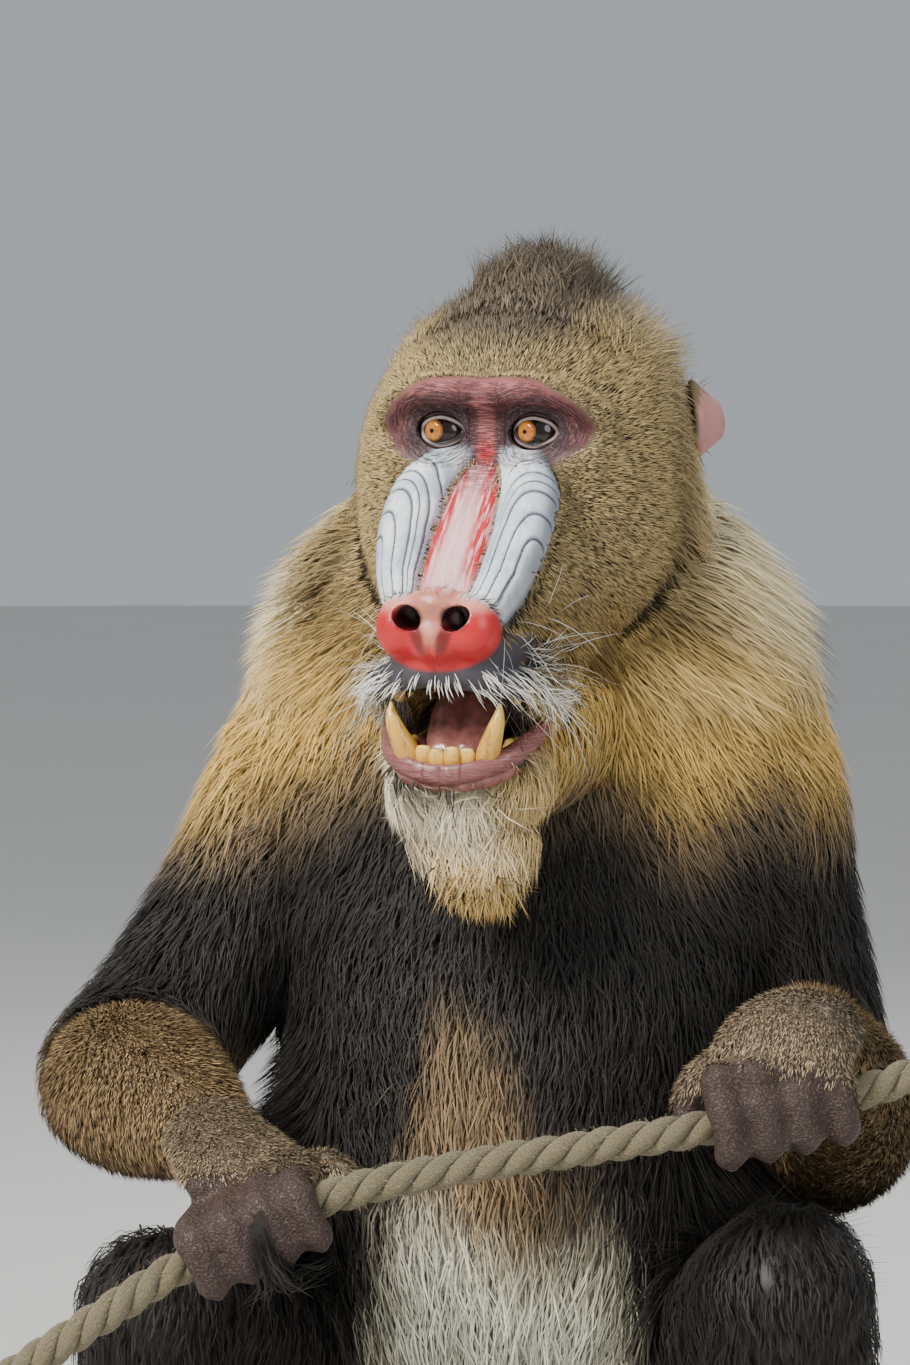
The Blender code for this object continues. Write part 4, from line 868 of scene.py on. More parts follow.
def skinColour(points, normals, part):
    h = inHead(points)
    n = normals @ np.array(headPlace.inverted())[:3, :3].T
    f = faceFields(h)
    colour = coatColour(points, part) * 0.75
    onHead = (part == "head").astype(float)
    face = bareFace(h) * onHead
    x = np.abs(h[:, 0])
    colour = tinted(colour, "cheek", face)
    low = onHead * (1 - ramp(h[:, 1], -0.040, -0.015)) * (1 - ramp(h[:, 2], -0.095, -0.080)) * ramp(h[:, 2],
        -0.150, -0.140)
    colour = tinted(colour, "muzzle", low)
    region = onHead * (1 - ramp(eyeRegion(h), 0.95, 1.25))
    colour = tinted(colour, "brow", region)
    upTo = h[:, 2] + np.clip(x - 0.030, 0, 1) * 0.30
    colour = tinted(colour, "browTop", region * ramp(upTo, 0.0185, 0.0235)
        * (1 - 0.55 * ramp(x, 0.008, 0.045)) * 0.9)
    far = np.sqrt((x - eye["side"]) ** 2 + (h[:, 2] * 1.2) ** 2)
    # Painted shade: the skin round each eye socket is darkened towards the eye.
    colour = tinted(colour, "socket", region * (1 - ramp(far, 0.014, 0.024))
        * (1 - ramp(h[:, 2], 0.012, 0.020)) * 0.9)
    colour = tinted(colour, "under", region * ramp(-h[:, 2], 0.007, 0.012) * 0.75)
    between = onHead * (1 - ramp(x, 0.0025, 0.0060)) * ramp(h[:, 2], -0.030, -0.010) * (1
        - ramp(h[:, 2], 0.016, 0.026)) \
        * (1 - ramp(h[:, 1], 0.0, 0.01))
    colour = tinted(colour, "browTop", between)
    colour = tinted(colour, "scarlet",
        onHead * np.maximum(f["bridge"], between * ramp(-h[:, 2], -0.002, 0.014)))
    # Painted highlight: a pale pink stripe down the middle of the bridge, stronger lower down.
    middle = onHead * f["bridge"] * (1
        - ramp(np.abs(h[:, 0] + 0.0012) / (0.0062 + 0.0055 * np.clip(f["down"], 0, 1)), 0.45, 1.0))
    colour = tinted(colour, "pink", middle * (0.55 + 0.45 * ramp(f["down"], 0.1, 0.5)))
    colour = tinted(colour, "pink", onHead * f["bridge"] * ramp(f["down"], 0.70, 0.92) * 0.75)
    colour = tinted(colour, "ridge", onHead * f["ridge"])
    edge = onHead * f["ridge"] * ramp(f["share"], 0.72, 1.02)
    colour = tinted(colour, "muzzle", edge * 0.75)
    nose = onHead * (1 - ramp(noseDistance(h), 0.98, 1.14)) * ramp(-h[:, 1], 0.070, 0.078)
    colour = tinted(colour, "nose", nose)
    upper = nose * ramp(h[:, 2], -0.0905, -0.0835)
    colour = tinted(colour, "noseTop", upper)
    septum = nose * (1 - ramp(x, 0.003 + 0.3 * np.clip(h[:, 2] + 0.100, 0, 0.02), 0.006 + 0.3
        * np.clip(h[:, 2] + 0.100, 0, 0.02))) \
        * ramp(h[:, 2], -0.110, -0.100)
    colour = tinted(colour, "septum", septum * 0.9)
    # Painted shade: a dark comma along the septum under each nostril, and black inside each nostril.
    for side in (-1, 1):
        hole = np.sqrt(((h[:, 0] - side * 0.0125) / 0.0082) ** 2 + ((h[:, 2] + 0.0905) / 0.0068) ** 2)
        comma = np.sqrt(((h[:, 0] - side * (0.0035 + 0.30 * np.clip(h[:, 2] + 0.112, 0, 0.03)))
            / 0.0042) ** 2 + ((h[:, 2] + 0.100) / 0.0115) ** 2)
        colour = tinted(colour, "nostril", nose * (1 - ramp(comma, 0.55, 1.15)) * 0.8)
        inside = nose * (1 - ramp(hole, 0.80, 1.15)) * ramp(h[:, 1], -0.1125, -0.106)
        colour = tinted(colour, "black", inside * 0.96)
    lips = onHead * (1 - ramp(curveDistance(h, head["lowerLip"]), 0.0060, 0.0080))
    colour = tinted(colour, "lip", lips * (1 - nose))
    mouthIn = onHead * (mouthInside(h) < 1.0)
    colour = tinted(colour, "gum", mouthIn)
    # Painted shade: the inside of the mouth goes black towards the back and towards its roof.
    colour = tinted(colour, "black", mouthIn * np.maximum(ramp(h[:, 1], -0.052, -0.030),
        ramp(h[:, 2], -0.150, -0.142) * 0.6) * 0.9)
    earSide = onHead * (x > 0.088) * (np.linalg.norm((h - np.array(ear["place"])) * (0, 1, 1),
        axis=1) < 0.027)
    colour = tinted(colour, "ear", earSide)
    # Fingers, palms, soles and toes. The dark palm colour on the fingers is partly their bare skin's own
    # colour and partly painted shade.
    for name, side in (("handRight", "R"), ("handLeft", "L")):
        knuckles = np.array([k[0] for k in hands[side]["knuckles"]])
        beyond = (part == name) * ramp(-(points[:, 1] - knuckles[:, 1].mean())
            - (points[:, 2] - knuckles[:, 2].mean()) * 0.9, -0.006, 0.008)
        below = (part == name) * (normals[:, 2] < -0.25)
        colour = tinted(colour, "palm", np.clip(beyond + below * 1.0, 0, 1))
    sole = np.char.startswith(part, "foot") * np.maximum(ramp(-normals[:, 2], 0.1, 0.5),
        ramp(-points[:, 1], 0.205, 0.225))
    colour = tinted(colour, "palm", sole)
    rump = bareRump(points)
    colour = tinted(colour, "rumpBlue", rump)
    colour = tinted(colour, "rumpRed", rump * (1 - ramp(np.abs(points[:, 0]), 0.012, 0.030)))
    return colour


def bareRump(points):
    # The bare patch behind, on each side of the tail's root
    level = ((np.abs(points[:, 0]) - 0.030) / 0.042) ** 2 + ((points[:, 2] - 0.070) / 0.050) ** 2
    return (1 - ramp(level, 0.8, 1.2)) * ramp(points[:, 1], 0.075, 0.105)


def skinFinish():
    material, w, shader = newFinish("Skin", {"Specular IOR Level": 0.45, "Coat Roughness": 0.25,
                                             "Subsurface Weight": 0.06, "Subsurface Radius": (0.006, 0.002,
        0.001)})
    place = w.place()
    ridge, fan = w.value("ridge"), w.value("fan")
    stops = [(0.0, 1.0)]
    for at, width in furrows:
        stops += [((at - width * 0.75) / 1.25, 1.0), (at / 1.25, 0.0), ((at + width * 0.75) / 1.25, 1.0)]
    high = w.node("ValToRGB", {"stops": stops}, {"Fac": fan * 0.8})
    mottle = w.noise(place, 55.0, 4.0, 0.65)
    pores = w.noise(place, 900.0, 3.0, 0.6)
    streak = w.noise(w.stretched(w.colour("muzzleWay"), (420.0, 45.0, 1.0)), 1.0, 3.0, 0.6)
    base = w.mixed(mottle.between(0.30, 0.75) * 0.45, w.colour("hue"),
                   w.mixed(1.0, w.colour("hue"), (0.55, 0.50, 0.52), "MULTIPLY"))
    base = w.mixed(w.value("bridge") * streak.between(0.46, 0.60) * 0.75, base, (0.98, 0.66, 0.66))
    pale = w.mixed(mottle.between(0.35, 0.65), (0.52, 0.62, 0.70), (0.92, 0.95, 0.98))
    pale = w.mixed(streak.between(0.52, 0.70) * 0.4, pale, (0.36, 0.42, 0.50))
    base = w.mixed(ridge * (1 - w.value("ridgeEdge")), base, pale)
    # The furrows are dark: partly the skin's own darker colour there and partly painted shade.
    base = w.mixed(ridge * (1 - high), base, (0.020, 0.022, 0.070))
    # Painted shade in the creases, with a painted highlight on the skin between them.
    crease = w.noise(w.colour("creaseWay"), 1.0, 2.0, 0.5).between(0.36, 0.62)
    creaseShading = w.value("creased")
    base = w.mixed(creaseShading * (1 - crease) * 0.75, base, (0.022, 0.012, 0.014))
    base = w.mixed(creaseShading * crease * pores.between(0.45, 0.75) * 0.30, base, (0.62, 0.36, 0.36))
    wet = w.value("wet")
    bump = w.bump(high * ridge * 1.2 + pores * 0.14 + mottle * 0.10 + streak * w.value("bridge") * 0.35
        + crease * creaseShading * 0.8, 0.7, 0.0012)
    feed(shader, w, Base_Color=base, Roughness=0.52 - wet * 0.34 + (mottle - 0.5) * 0.12, Coat_Weight=wet
        * 0.8, Normal=bump)
    return material


def dressSkin(skin):
    mesh = skin.data
    points, normals = vertexArray(mesh), vertexArray(mesh, "normal")
    part = partsOf(points)[0]
    h = inHead(points)
    f = faceFields(h)
    onHead = (part == "head").astype(float)
    keep(mesh, "hue", np.clip(skinColour(points, normals, part), 0.003, 0.95))
    keep(mesh, "ridge", f["ridge"] * onHead)
    keep(mesh, "ridgeEdge", ramp(f["share"], 0.70, 1.0) * 0.8)
    keep(mesh, "bridge", f["bridge"] * onHead)
    keep(mesh, "fan", np.clip(f["fan"], 0, 1.24))
    # Creases run round each eye, and straight across between the two. The skin's finish paints shade in them
    # and a highlight on the skin between them.
    x = np.abs(h[:, 0]) - eye["side"]
    far = np.sqrt(x ** 2 + (h[:, 2] * 1.2) ** 2)
    middle = 1 - ramp(np.abs(h[:, 0]), 0.008, 0.012)
    over = np.stack([h[:, 2] * 1500, h[:, 0] * 120, 0 * x], axis=-1)
    roundWay = np.stack([far * 1050, np.arctan2(h[:, 2], x) * 3.5, h[:, 0] * 60], axis=-1)
    limb = np.char.startswith(part, "hand") | np.char.startswith(part, "foot")
    keep(mesh, "creaseWay", np.where(limb[:, None], points * (620, 620, 900),
        np.where(middle[:, None] > 0.5, over, roundWay)))
    around = onHead * (1 - ramp(eyeRegion(h), 0.80, 1.10)) * ramp(far, 0.011, 0.014)
    nearLip = onHead * (1 - ramp(curveDistance(h, head["lowerLip"]), 0.006, 0.008)) * 0.45
    keep(mesh, "creased", np.maximum(np.maximum(np.maximum(around, nearLip), limb * 0.75), onHead * middle
                                     * ramp(h[:, 2], -0.036, -0.020)
                                     * (1 - ramp(h[:, 2], 0.022, 0.027)) * (1 - ramp(h[:, 1], 0.0, 0.01))))
    keep(mesh, "muzzleWay", np.stack([h[:, 0], f["down"] * 0.106, f["proud"]], axis=-1))
    wet = onHead * np.maximum((mouthInside(h) < 1.05) * 0.9,
        (1 - ramp(curveDistance(h, head["lowerLip"]), 0.005, 0.008)) * 0.7)
    keep(mesh, "wet", np.maximum(wet, onHead * (1 - ramp(noseDistance(h), 0.9, 1.1)) * 0.35))
    mesh.materials.clear()
    mesh.materials.append(skinFinish())
    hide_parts(*[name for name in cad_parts
        if not name.startswith(("eye", "canine", "tongue", "rope"))])
    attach(skin, "root")


# The coat. Every tuft is a closed, flat, bent spike with its root sunk in the skin.
def mapSkin(mesh):
    # What the coat needs to know of each triangle of the skin, and a tree that finds the nearest one
    mesh.calc_loop_triangles()
    corners = np.empty(len(mesh.loop_triangles) * 3, np.int32)
    mesh.loop_triangles.foreach_get("vertices", corners)
    corners = corners.reshape(-1, 3)
    co, no = vertexArray(mesh), vertexArray(mesh, "normal")
    tris = co[corners]
    centre = tris.mean(axis=1)
    part, ahead = partsOf(centre)
    h = inHead(centre)
    return {"tris": tris, "norms": no[corners],
            "area": np.linalg.norm(np.cross(tris[:, 1] - tris[:, 0], tris[:, 2] - tris[:, 0]), axis=1),
            "at": centre, "normal": unit(no[corners].mean(axis=1)), "part": part, "ahead": ahead, "head": h,
            "bare": bareFace(h),
            "eyes": eyeRegion(h), "nose": noseDistance(h), "mouth": mouthInside(h),
            "lip": curveDistance(h, head["lowerLip"]),
            "tree": BVHTree.FromPolygons(co.tolist(), corners.tolist())}


def spots(skinMap, weight, count, seed):
    # Roots at random over the triangles, more where the weight is more
    rng = np.random.default_rng(seed)
    chance = skinMap["area"] * np.clip(weight, 0, 1)
    pick = rng.choice(len(chance), count, p=chance / chance.sum())
    a, b = rng.random((2, count, 1))
    a, b = np.where(a + b > 1, 1 - a, a), np.where(a + b > 1, 1 - b, b)
    mix = lambda v: v[pick, 0] * (1 - a - b) + v[pick, 1] * a + v[pick, 2] * b
    at = mix(skinMap["tris"])
    return {"at": at, "normal": unit(mix(skinMap["norms"])), "part": skinMap["part"][pick],
            "ahead": skinMap["ahead"][pick],
            "head": inHead(at)}, rng


def swirl(points, size):  # a smooth field that sways the lie of the coat
    p = points * (2 * math.pi / size)
    return np.stack([np.sin(p[:, 1] + 1.7 * p[:, 2] + 0.4) + np.sin(1.9 * p[:, 2] - p[:, 0]),
                     np.sin(p[:, 2] * 1.3 + p[:, 0]) + np.sin(1.4 * p[:, 0] + 2.0),
                     0.5 * np.sin(p[:, 0] * 1.5 + 0.9) + 0.5 * np.sin(p[:, 1] * 1.2)], axis=-1) * 0.5


def cellShade(points, size):  # one number from 0 to 1 for each cell of space
    cell = np.floor(points / size) @ np.array([12.9898, 78.233, 37.719])
    return np.mod(np.sin(cell) * 43758.5453, 1.0)


def growCoat(name, skinMap, weight, lie, finish, slot, tint=None, **changes):
    # Each tuft starts at a point of the skin, leans along the lie of the coat and is drawn down to the skin
    # again
    # at each station plus its lift there. A ring is a flat triangle across the lie, and the last point is
    # the tip.
    sizes = {"count": 1000, "length": 0.02, "width": 0.001, "stations": (0, 0.5, 1.0),
             "lift": (0, 0.16, 0.26), "taper": (1.0, 0.8),
             "sunk": 0.0015, "stray": 0.12, "clump": 0.010, "pull": 0.35, "sway": 0.15, "swaySize": 0.06,
             "hug": True, "droop": 0.0,
             "soft": 0.9, "speck": 0.0025, "seed": 1}
    sizes.update(changes)
    spot, rng = spots(skinMap, weight, sizes["count"], sizes["seed"])
    n, stations, lift, part = sizes["count"], sizes["stations"], sizes["lift"], spot["part"]
    odd = np.clip(0.62 * cellShade(spot["at"], sizes["speck"]) + 0.38 * rng.random(n), 0, 1)
    length = (sizes["length"](spot) if callable(sizes["length"]) else sizes["length"]) * (rng.uniform(0.75,
        1.1, n) + 0.2 * (odd - 0.5))
    cell = max(sizes["clump"], 1e-4)
    corner = np.floor(spot["at"] / cell + 0.5)
    middle = corner * cell + 0.3 * cell * np.sin(corner * 12.9898 + 4.1)
    roots, first = spot["at"], spot["normal"]
    path = np.empty((n, len(stations), 3))
    path[:, 0] = roots - first * sizes["sunk"]
    stray = rng.normal(0, sizes["stray"], (n, 3)) + swirl(roots, sizes["swaySize"]) * sizes["sway"]
    stand = rng.uniform(0.55, 1.45, n)
    for k in range(1, len(stations)):
        at, normal = spot["at"], spot["normal"]
        way = lie(spot) + stray
        if sizes["clump"]:
            way = way + (middle + lie(spot) * length[:, None] - at) * sizes["pull"] / np.maximum(
                length[:, None], 1e-4)
        way = unit(way - np.sum(way * normal, axis=1)[:, None] * normal)
        at = at + way * (length * (stations[k] - stations[k - 1]))[:, None]
        if sizes["hug"]:
            found = [skinMap["tree"].find_nearest(p)[0::2] for p in at.tolist()]
            at = np.array([f[0] for f in found])
            index = np.array([f[1] for f in found])
            normal = unit(skinMap["normal"][index] * 0.5 + normal * 0.5)
            spot = {"at": at, "normal": normal, "ahead": skinMap["ahead"][index], "head": inHead(at)}
        else:
            spot = dict(spot, at=at)
        rise = lift[k](roots) if callable(lift[k]) else lift[k]
        path[:, k] = at + normal * (rise * stand * length)[:, None]
        path[:, k, 2] -= sizes["droop"] * length * stations[k] ** 2
    path[:, 1:, 2] = np.maximum(path[:, 1:, 2], 0.0015)
    width = sizes["width"] * rng.uniform(0.7, 1.3, n)
    hue = coatColour(roots, part) if tint is None else np.tile(np.array(tint), (n, 1))
    return tuftMesh(name, path, roots, first, width, sizes["taper"], length, odd, hue,
                    unwrapped(roots, part), finish, rng,
                    sizes["soft"])


def tuftMesh(name, path, roots, normals, width, taper, length, odd, hue, place, finish, rng, soft=0.9):
    # All tufts at once. A tuft with two stations is a ring of three points with a tip, one with more is
    # pointed
    # at both ends, with a ring at each station between them.
    n, stations = path.shape[:2]
    short = stations == 2
    rings = path[:, :1] if short else path[:, 1:-1]
    many = rings.shape[1]
    taper = np.array(taper)[:many]
    lean = unit(path[:, -1] - path[:, 0])
    side = unit(np.cross(normals, lean) + rng.normal(0, 0.25, (n, 3)))
    up = unit(np.cross(lean, side))
    flip = np.where(np.sum(up * normals, axis=1) < 0, -1.0, 1.0)[:, None]
    side, up = unit(np.cross(up, lean)) * flip, up * flip
    half = (width[:, None] * taper[None] * 0.5)[..., None]
    around = np.stack([-side, side, up * 0.6], axis=1)
    corners = (rings[:, :, None] + around[:, None] * half[..., None]).reshape(n, -1, 3)
    facing = np.tile(around, (1, many, 1))
    step = 0 if short else 1
    co = np.concatenate(([] if short else [path[:, :1]]) + [corners, path[:, -1:]], axis=1)
    facing = np.concatenate(([] if short else [up[:, None]]) + [facing, up[:, None]], axis=1)
    per = co.shape[1]
    r, j = np.meshgrid(np.arange(many - 1) * 3 + step, np.arange(3), indexing="ij")
    a, b = (r + j).ravel(), (r + (j + 1) % 3).ravel()
    last = step + (many - 1) * 3
    below = [(0, 2, 1)] if short else [(1 + (k + 1) % 3, 1 + k, 0) for k in range(3)]
    faces = np.concatenate([below, np.stack([a, b, b + 3], axis=-1), np.stack([a, b + 3, a + 3], axis=-1),
                            [(last + k, last + (k + 1) % 3, per - 1) for k in range(3)]]).astype(int)
    every = (faces[None] + (np.arange(n) * per)[:, None, None]).reshape(-1, 3)
    mesh = bpy.data.meshes.new(name)
    mesh.vertices.add(n * per)
    mesh.vertices.foreach_set("co", co.ravel())
    mesh.loops.add(every.size)
    mesh.loops.foreach_set("vertex_index", every.ravel().astype(np.int32))
    mesh.polygons.add(len(every))
    mesh.polygons.foreach_set("loop_start", np.arange(0, every.size, 3, dtype=np.int32))
    mesh.polygons.foreach_set("use_smooth", np.ones(len(every), bool))
    mesh.update(calc_edges=True)
    # The coat is lit mostly as the body under it is, so that it reads as one soft surface.
    mesh.normals_split_custom_set_from_vertices(unit(facing + normals[:, None] * soft).reshape(-1, 3))
    obj = bpy.data.objects.new(name, mesh)
    bpy.context.scene.collection.objects.link(obj)
    # Each point's own values: its colour, how far along the hair it is, and its place across and along the
    # tuft
    along = np.linspace(0, 1, stations)
    t = np.concatenate([[0.0] * step, np.repeat(along[step:step + many], 3), [1.0]])
    across = np.concatenate([[0.0] * step, np.tile([-0.5, 0.5, 0.0], many) * np.repeat(taper, 3), [0.0]])
    keep(mesh, "hue", np.repeat(hue, per, axis=0))
    keep(mesh, "along", np.tile(t, n))
    keep(mesh, "odd", np.repeat(odd, per))
    strand = np.stack([across[None] * width[:, None] * 1000 + odd[:, None] * 97, t[None] * length[:, None]
                       * 1000,
                       np.repeat(odd[:, None] * 31, per, axis=1)], axis=-1)
    keep(mesh, "strand", strand.reshape(-1, 3))
    patch = 0.003
    uv = place[:, None] + np.stack([across * patch, (t - 0.5) * patch], axis=-1)[None]
    layer = mesh.uv_layers.new(name="OFBake")
    layer.data.foreach_set("uv", uv.reshape(-1, 2)[every.ravel()].ravel())
    mesh.materials.append(finish)
    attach(obj, "root")
    print(name, len(every), "triangles")
    return obj


def unwrapped(points, part):
    # The skin unrolled: the trunk and head by turn and height round their own middle, each limb by turn and
    # way along it.
    u = np.arctan2(points[:, 0], -(points[:, 1] - 0.01)) / (2 * math.pi) + 0.5
    v = 0.05 + 0.55 * np.clip(points[:, 2] / 0.62, 0, 1)
    h = inHead(points)
    isHead = part == "head"
    u = np.where(isHead, np.arctan2(h[:, 0], -(h[:, 1] - 0.06)) / (2 * math.pi) + 0.5, u)
    v = np.where(isHead, 0.66 + 0.30 * np.clip((h[:, 2] + 0.25) / 0.34, 0, 1), v)
    for k, (name, rows) in enumerate(list(limbs.items()) + list(feet.items())):
        chosen = part == name
        if not chosen.any():
            continue
        line = curve(rows, 5)[:, :3]
        at = np.argmin(np.linalg.norm(points[chosen][:, None] - line[None], axis=2), axis=1)
        way = unit(np.gradient(line, axis=0))[at]
        off = points[chosen] - line[at]
        side = unit(np.cross(way, (0.3, 0.2, 1.0)))
        turn = np.arctan2(np.sum(off * np.cross(way, side), axis=1), np.sum(off * side, axis=1)) / (2
            * math.pi) + 0.5
        u[chosen] = 0.02 + 0.96 * turn
        v[chosen] = 0.02 + 0.96 * (k + at / len(line)) / (len(limbs) + len(feet))
    return np.stack([0.01 + 0.98 * u, np.clip(v, 0.01, 0.99)], axis=-1)


headTurn = np.array(headPlace)[:3, :3].T


def headLie(s):
    # Away from the middle of the face, back and out, and down on the jowls
    h = s["head"]
    way = np.stack([h[:, 0] * 1.1, 0.030 + 0.2 * np.maximum(h[:, 1], 0), (h[:, 2] + 0.020) * 0.95], axis=-1)
    behind = ramp(h[:, 1], 0.03, 0.10)
    way = way + np.stack([0 * behind, 0.02 * behind, -0.075 * behind * ramp(-h[:, 2], -0.02, 0.04)], axis=-1)
    return unit(way @ headTurn)


def crownLie(s):
    h = s["head"]
    way = np.stack([-2.5 * h[:, 0], 0.35 - 3.0 * (h[:, 1] - 0.05), np.full(len(h), 0.9)], axis=-1)
    return unit(way @ headTurn * 0.6 + s["normal"] * 0.5)


def ruffLie(s):
    h = s["head"]
    return unit(np.stack([h[:, 0] * 7, 0.42 + 0 * h[:, 0], -0.50 + 1.5 * h[:, 2]], axis=-1) @ headTurn)


def trunkLie(s):
    # Down and outwards over the shoulders and back, down and in to the middle of the belly
    x, y, z = s["at"].T
    belly = ramp(-y, 0.02, 0.07) * (1 - ramp(z, 0.30, 0.40))
    out = (1 - belly) * 1.9 * x - belly * 1.0 * x
    return unit(np.stack([out, y * 0.5 * (1 - belly), -0.26 * np.ones_like(x)], axis=-1))


def limbLie(s):
    return unit(s["ahead"] * 0.7 + np.array([0, 0, -0.55]))


def growCoats(skin):
    s = mapSkin(skin.data)
    h, at, normal = s["head"], s["at"], s["normal"]
    side, y, z = np.abs(h[:, 0]), h[:, 1], h[:, 2]
    isPart = lambda start: np.char.startswith(s["part"], start).astype(float)
    agouti = coatFinish("Ticked fur", "agouti")
    long = coatFinish("Long hair", "long", 0.5, 0.1)
    dark = coatFinish("Dark fur", "dark", 0.5, 0.05)
    inEar = (side > 0.078) & (np.linalg.norm((h - np.array(ear["place"])) * (0, 1, 1), axis=1) < 0.026)
    headFur = isPart("head") * (1 - s["bare"]) * (1 - inEar) * (s["mouth"] > 1.3) * (z > -0.150)

    def headLength(t):
        k = t["head"]
        near = 1 - ramp(np.maximum(eyeRegion(k) - 1.0, 0), 0.0, 1.5)
        return 0.0070 + 0.0080 * ramp(k[:, 1], -0.01, 0.07) + 0.004 * ramp(-k[:, 2], 0.04,
            0.10) - 0.0022 * near + 0.013 * domed(k)

    domed = lambda k: ramp(k[:, 2], 0.010, 0.045) * ramp(k[:, 1], 0.03, 0.08)
    for sign, word in ((-1, "right"), (1, "left")):
        growCoat("coat_head_" + word, s, headFur * (h[:, 0] * sign >= 0) * (1 - 0.5 * ramp(y, 0.05, 0.10)),
                 headLie, agouti, "head_fur",
                 count=37000, length=headLength, width=0.00088, stations=(0, 1.0),
                 lift=(0, lambda p: 0.42 + 0.38 * domed(inHead(p))), clump=0.003,
                 pull=0.35, stray=0.20, sway=0.12, hug=False, speck=0.0018, seed=12 + sign)
    crown = headFur * ramp(z, 0.022, 0.042) * (1 - 0.9 * ramp(side, 0.035, 0.068)) * ramp(y, 0.015, 0.045)
    growCoat("coat_crown", s, crown, crownLie, agouti, "head_fur", count=9000, width=0.0009,
             lift=(0, 0.42, 0.85), clump=0.006,
             length=lambda t: 0.010 + 0.017 * ramp(t["head"][:, 1], 0.035, 0.075)
             * (1 - 0.75 * ramp(np.abs(t["head"][:, 0]), 0.000, 0.045)),
             pull=0.35, stray=0.20, seed=21)
    ruff = isPart("head") * (1 - s["bare"]) * (1 - inEar) * (s["mouth"] > 1.3) * np.maximum(
        ramp(y, 0.030, 0.070) * (1 - ramp(z, 0.00, 0.04)) * ramp(side, 0.040, 0.060), ramp(-z, 0.090, 0.110)
        * ramp(y, -0.005, 0.025))
    growCoat("coat_ruff", s, ruff, ruffLie, long, "mantle_hair", count=14000, width=0.0009,
             lift=(0, 0.30, 0.45), clump=0.010, hug=False,
             length=lambda t: 0.016 + 0.026 * ramp(-t["head"][:, 2], 0.0, 0.07), pull=0.25, stray=0.20,
        droop=0.06, seed=31)
    trunk = isPart("torso")
    mantle = trunk * (at[:, 2] > 0.39)
    neck = lambda p: 0.30 + 0.30 * ramp(p[:, 2], 0.50, 0.56)
    growCoat("coat_mantle_front", s, mantle * (at[:, 1] < 0.0), trunkLie, long, "mantle_hair", count=30000,
             width=0.0010,
             length=lambda t: 0.026 + 0.010 * ramp(np.abs(t["at"][:, 0]), 0.04, 0.10), lift=(0, 0.26, neck),
             clump=0.012, pull=0.25,
             stray=0.22, sway=0.28, swaySize=0.05, seed=41)
    growCoat("coat_mantle_back", s, mantle * (at[:, 1] >= 0.0), trunkLie, long, "mantle_hair", count=22000,
             width=0.0012, length=0.034,
             lift=(0, 0.26, neck), clump=0.013, pull=0.25, stray=0.20, sway=0.25, seed=51)
    flank = lambda p: 0.24 + 0.50 * ramp(np.abs(p[:, 0]), 0.075, 0.105) * (1 - ramp(p[:, 2], 0.30, 0.36))
    growCoat("coat_chest", s, trunk * (at[:, 1] < 0.02) * (at[:, 2] <= 0.41) * (at[:, 2] > 0.04)
             * (1 - 0.6 * (at[:, 2] < 0.12)), trunkLie,
             dark, "dark_fur", count=24000, width=0.0010, lift=(0, 0.24, flank), clump=0.014, pull=0.30,
             stray=0.20, sway=0.40, swaySize=0.045,
             length=lambda t: 0.030 + 0.014 * ramp(-t["at"][:, 2], -0.34, -0.24), seed=61)
    growCoat("coat_back", s, trunk * (at[:, 1] >= 0.02) * (at[:, 2] <= 0.41) * (at[:, 2] > 0.012)
             * (1 - bareRump(at)), trunkLie, dark,
             "dark_fur", count=16000, length=0.034, width=0.0014, lift=(0, 0.22, 0.28), clump=0.013,
        pull=0.35, stray=0.18, seed=71)
    growCoat("coat_arms", s, isPart("arm"), limbLie, dark, "dark_fur", count=24000, width=0.0010,
             clump=0.011, pull=0.30, stray=0.18,
             length=lambda t: 0.022 + 0.010 * ramp(t["at"][:, 2], 0.32, 0.42), lift=(0, 0.22, 0.28),
        sway=0.25, seed=81)
    growCoat("coat_forearms", s, isPart("fore"), limbLie, agouti, "limb_fur", count=34000, length=0.0115,
             width=0.0010,
             stations=(0, 1.0), lift=(0, 0.38), clump=0.005, pull=0.35, stray=0.24, hug=False, seed=91)
    growCoat("coat_hands", s, isPart("hand") * handFur(at, normal), limbLie, agouti, "limb_fur", count=12000,
             length=0.0085,
             width=0.0009, stations=(0, 1.0), lift=(0, 0.28), clump=0.004, pull=0.3, stray=0.20, hug=False,
        seed=95)
    lower = isPart("thigh") + isPart("shin") + isPart("tail") + isPart(
        "foot") * (normal[:, 2] > 0.1) * (at[:, 1] > -0.205) * 0.7
    growCoat("coat_legs", s, lower * (at[:, 2] > 0.012), legLie, dark, "limb_fur", count=18000, length=0.022,
             width=0.0013,
             lift=(0, 0.18, 0.20), clump=0.010, pull=0.35, stray=0.16, seed=101)

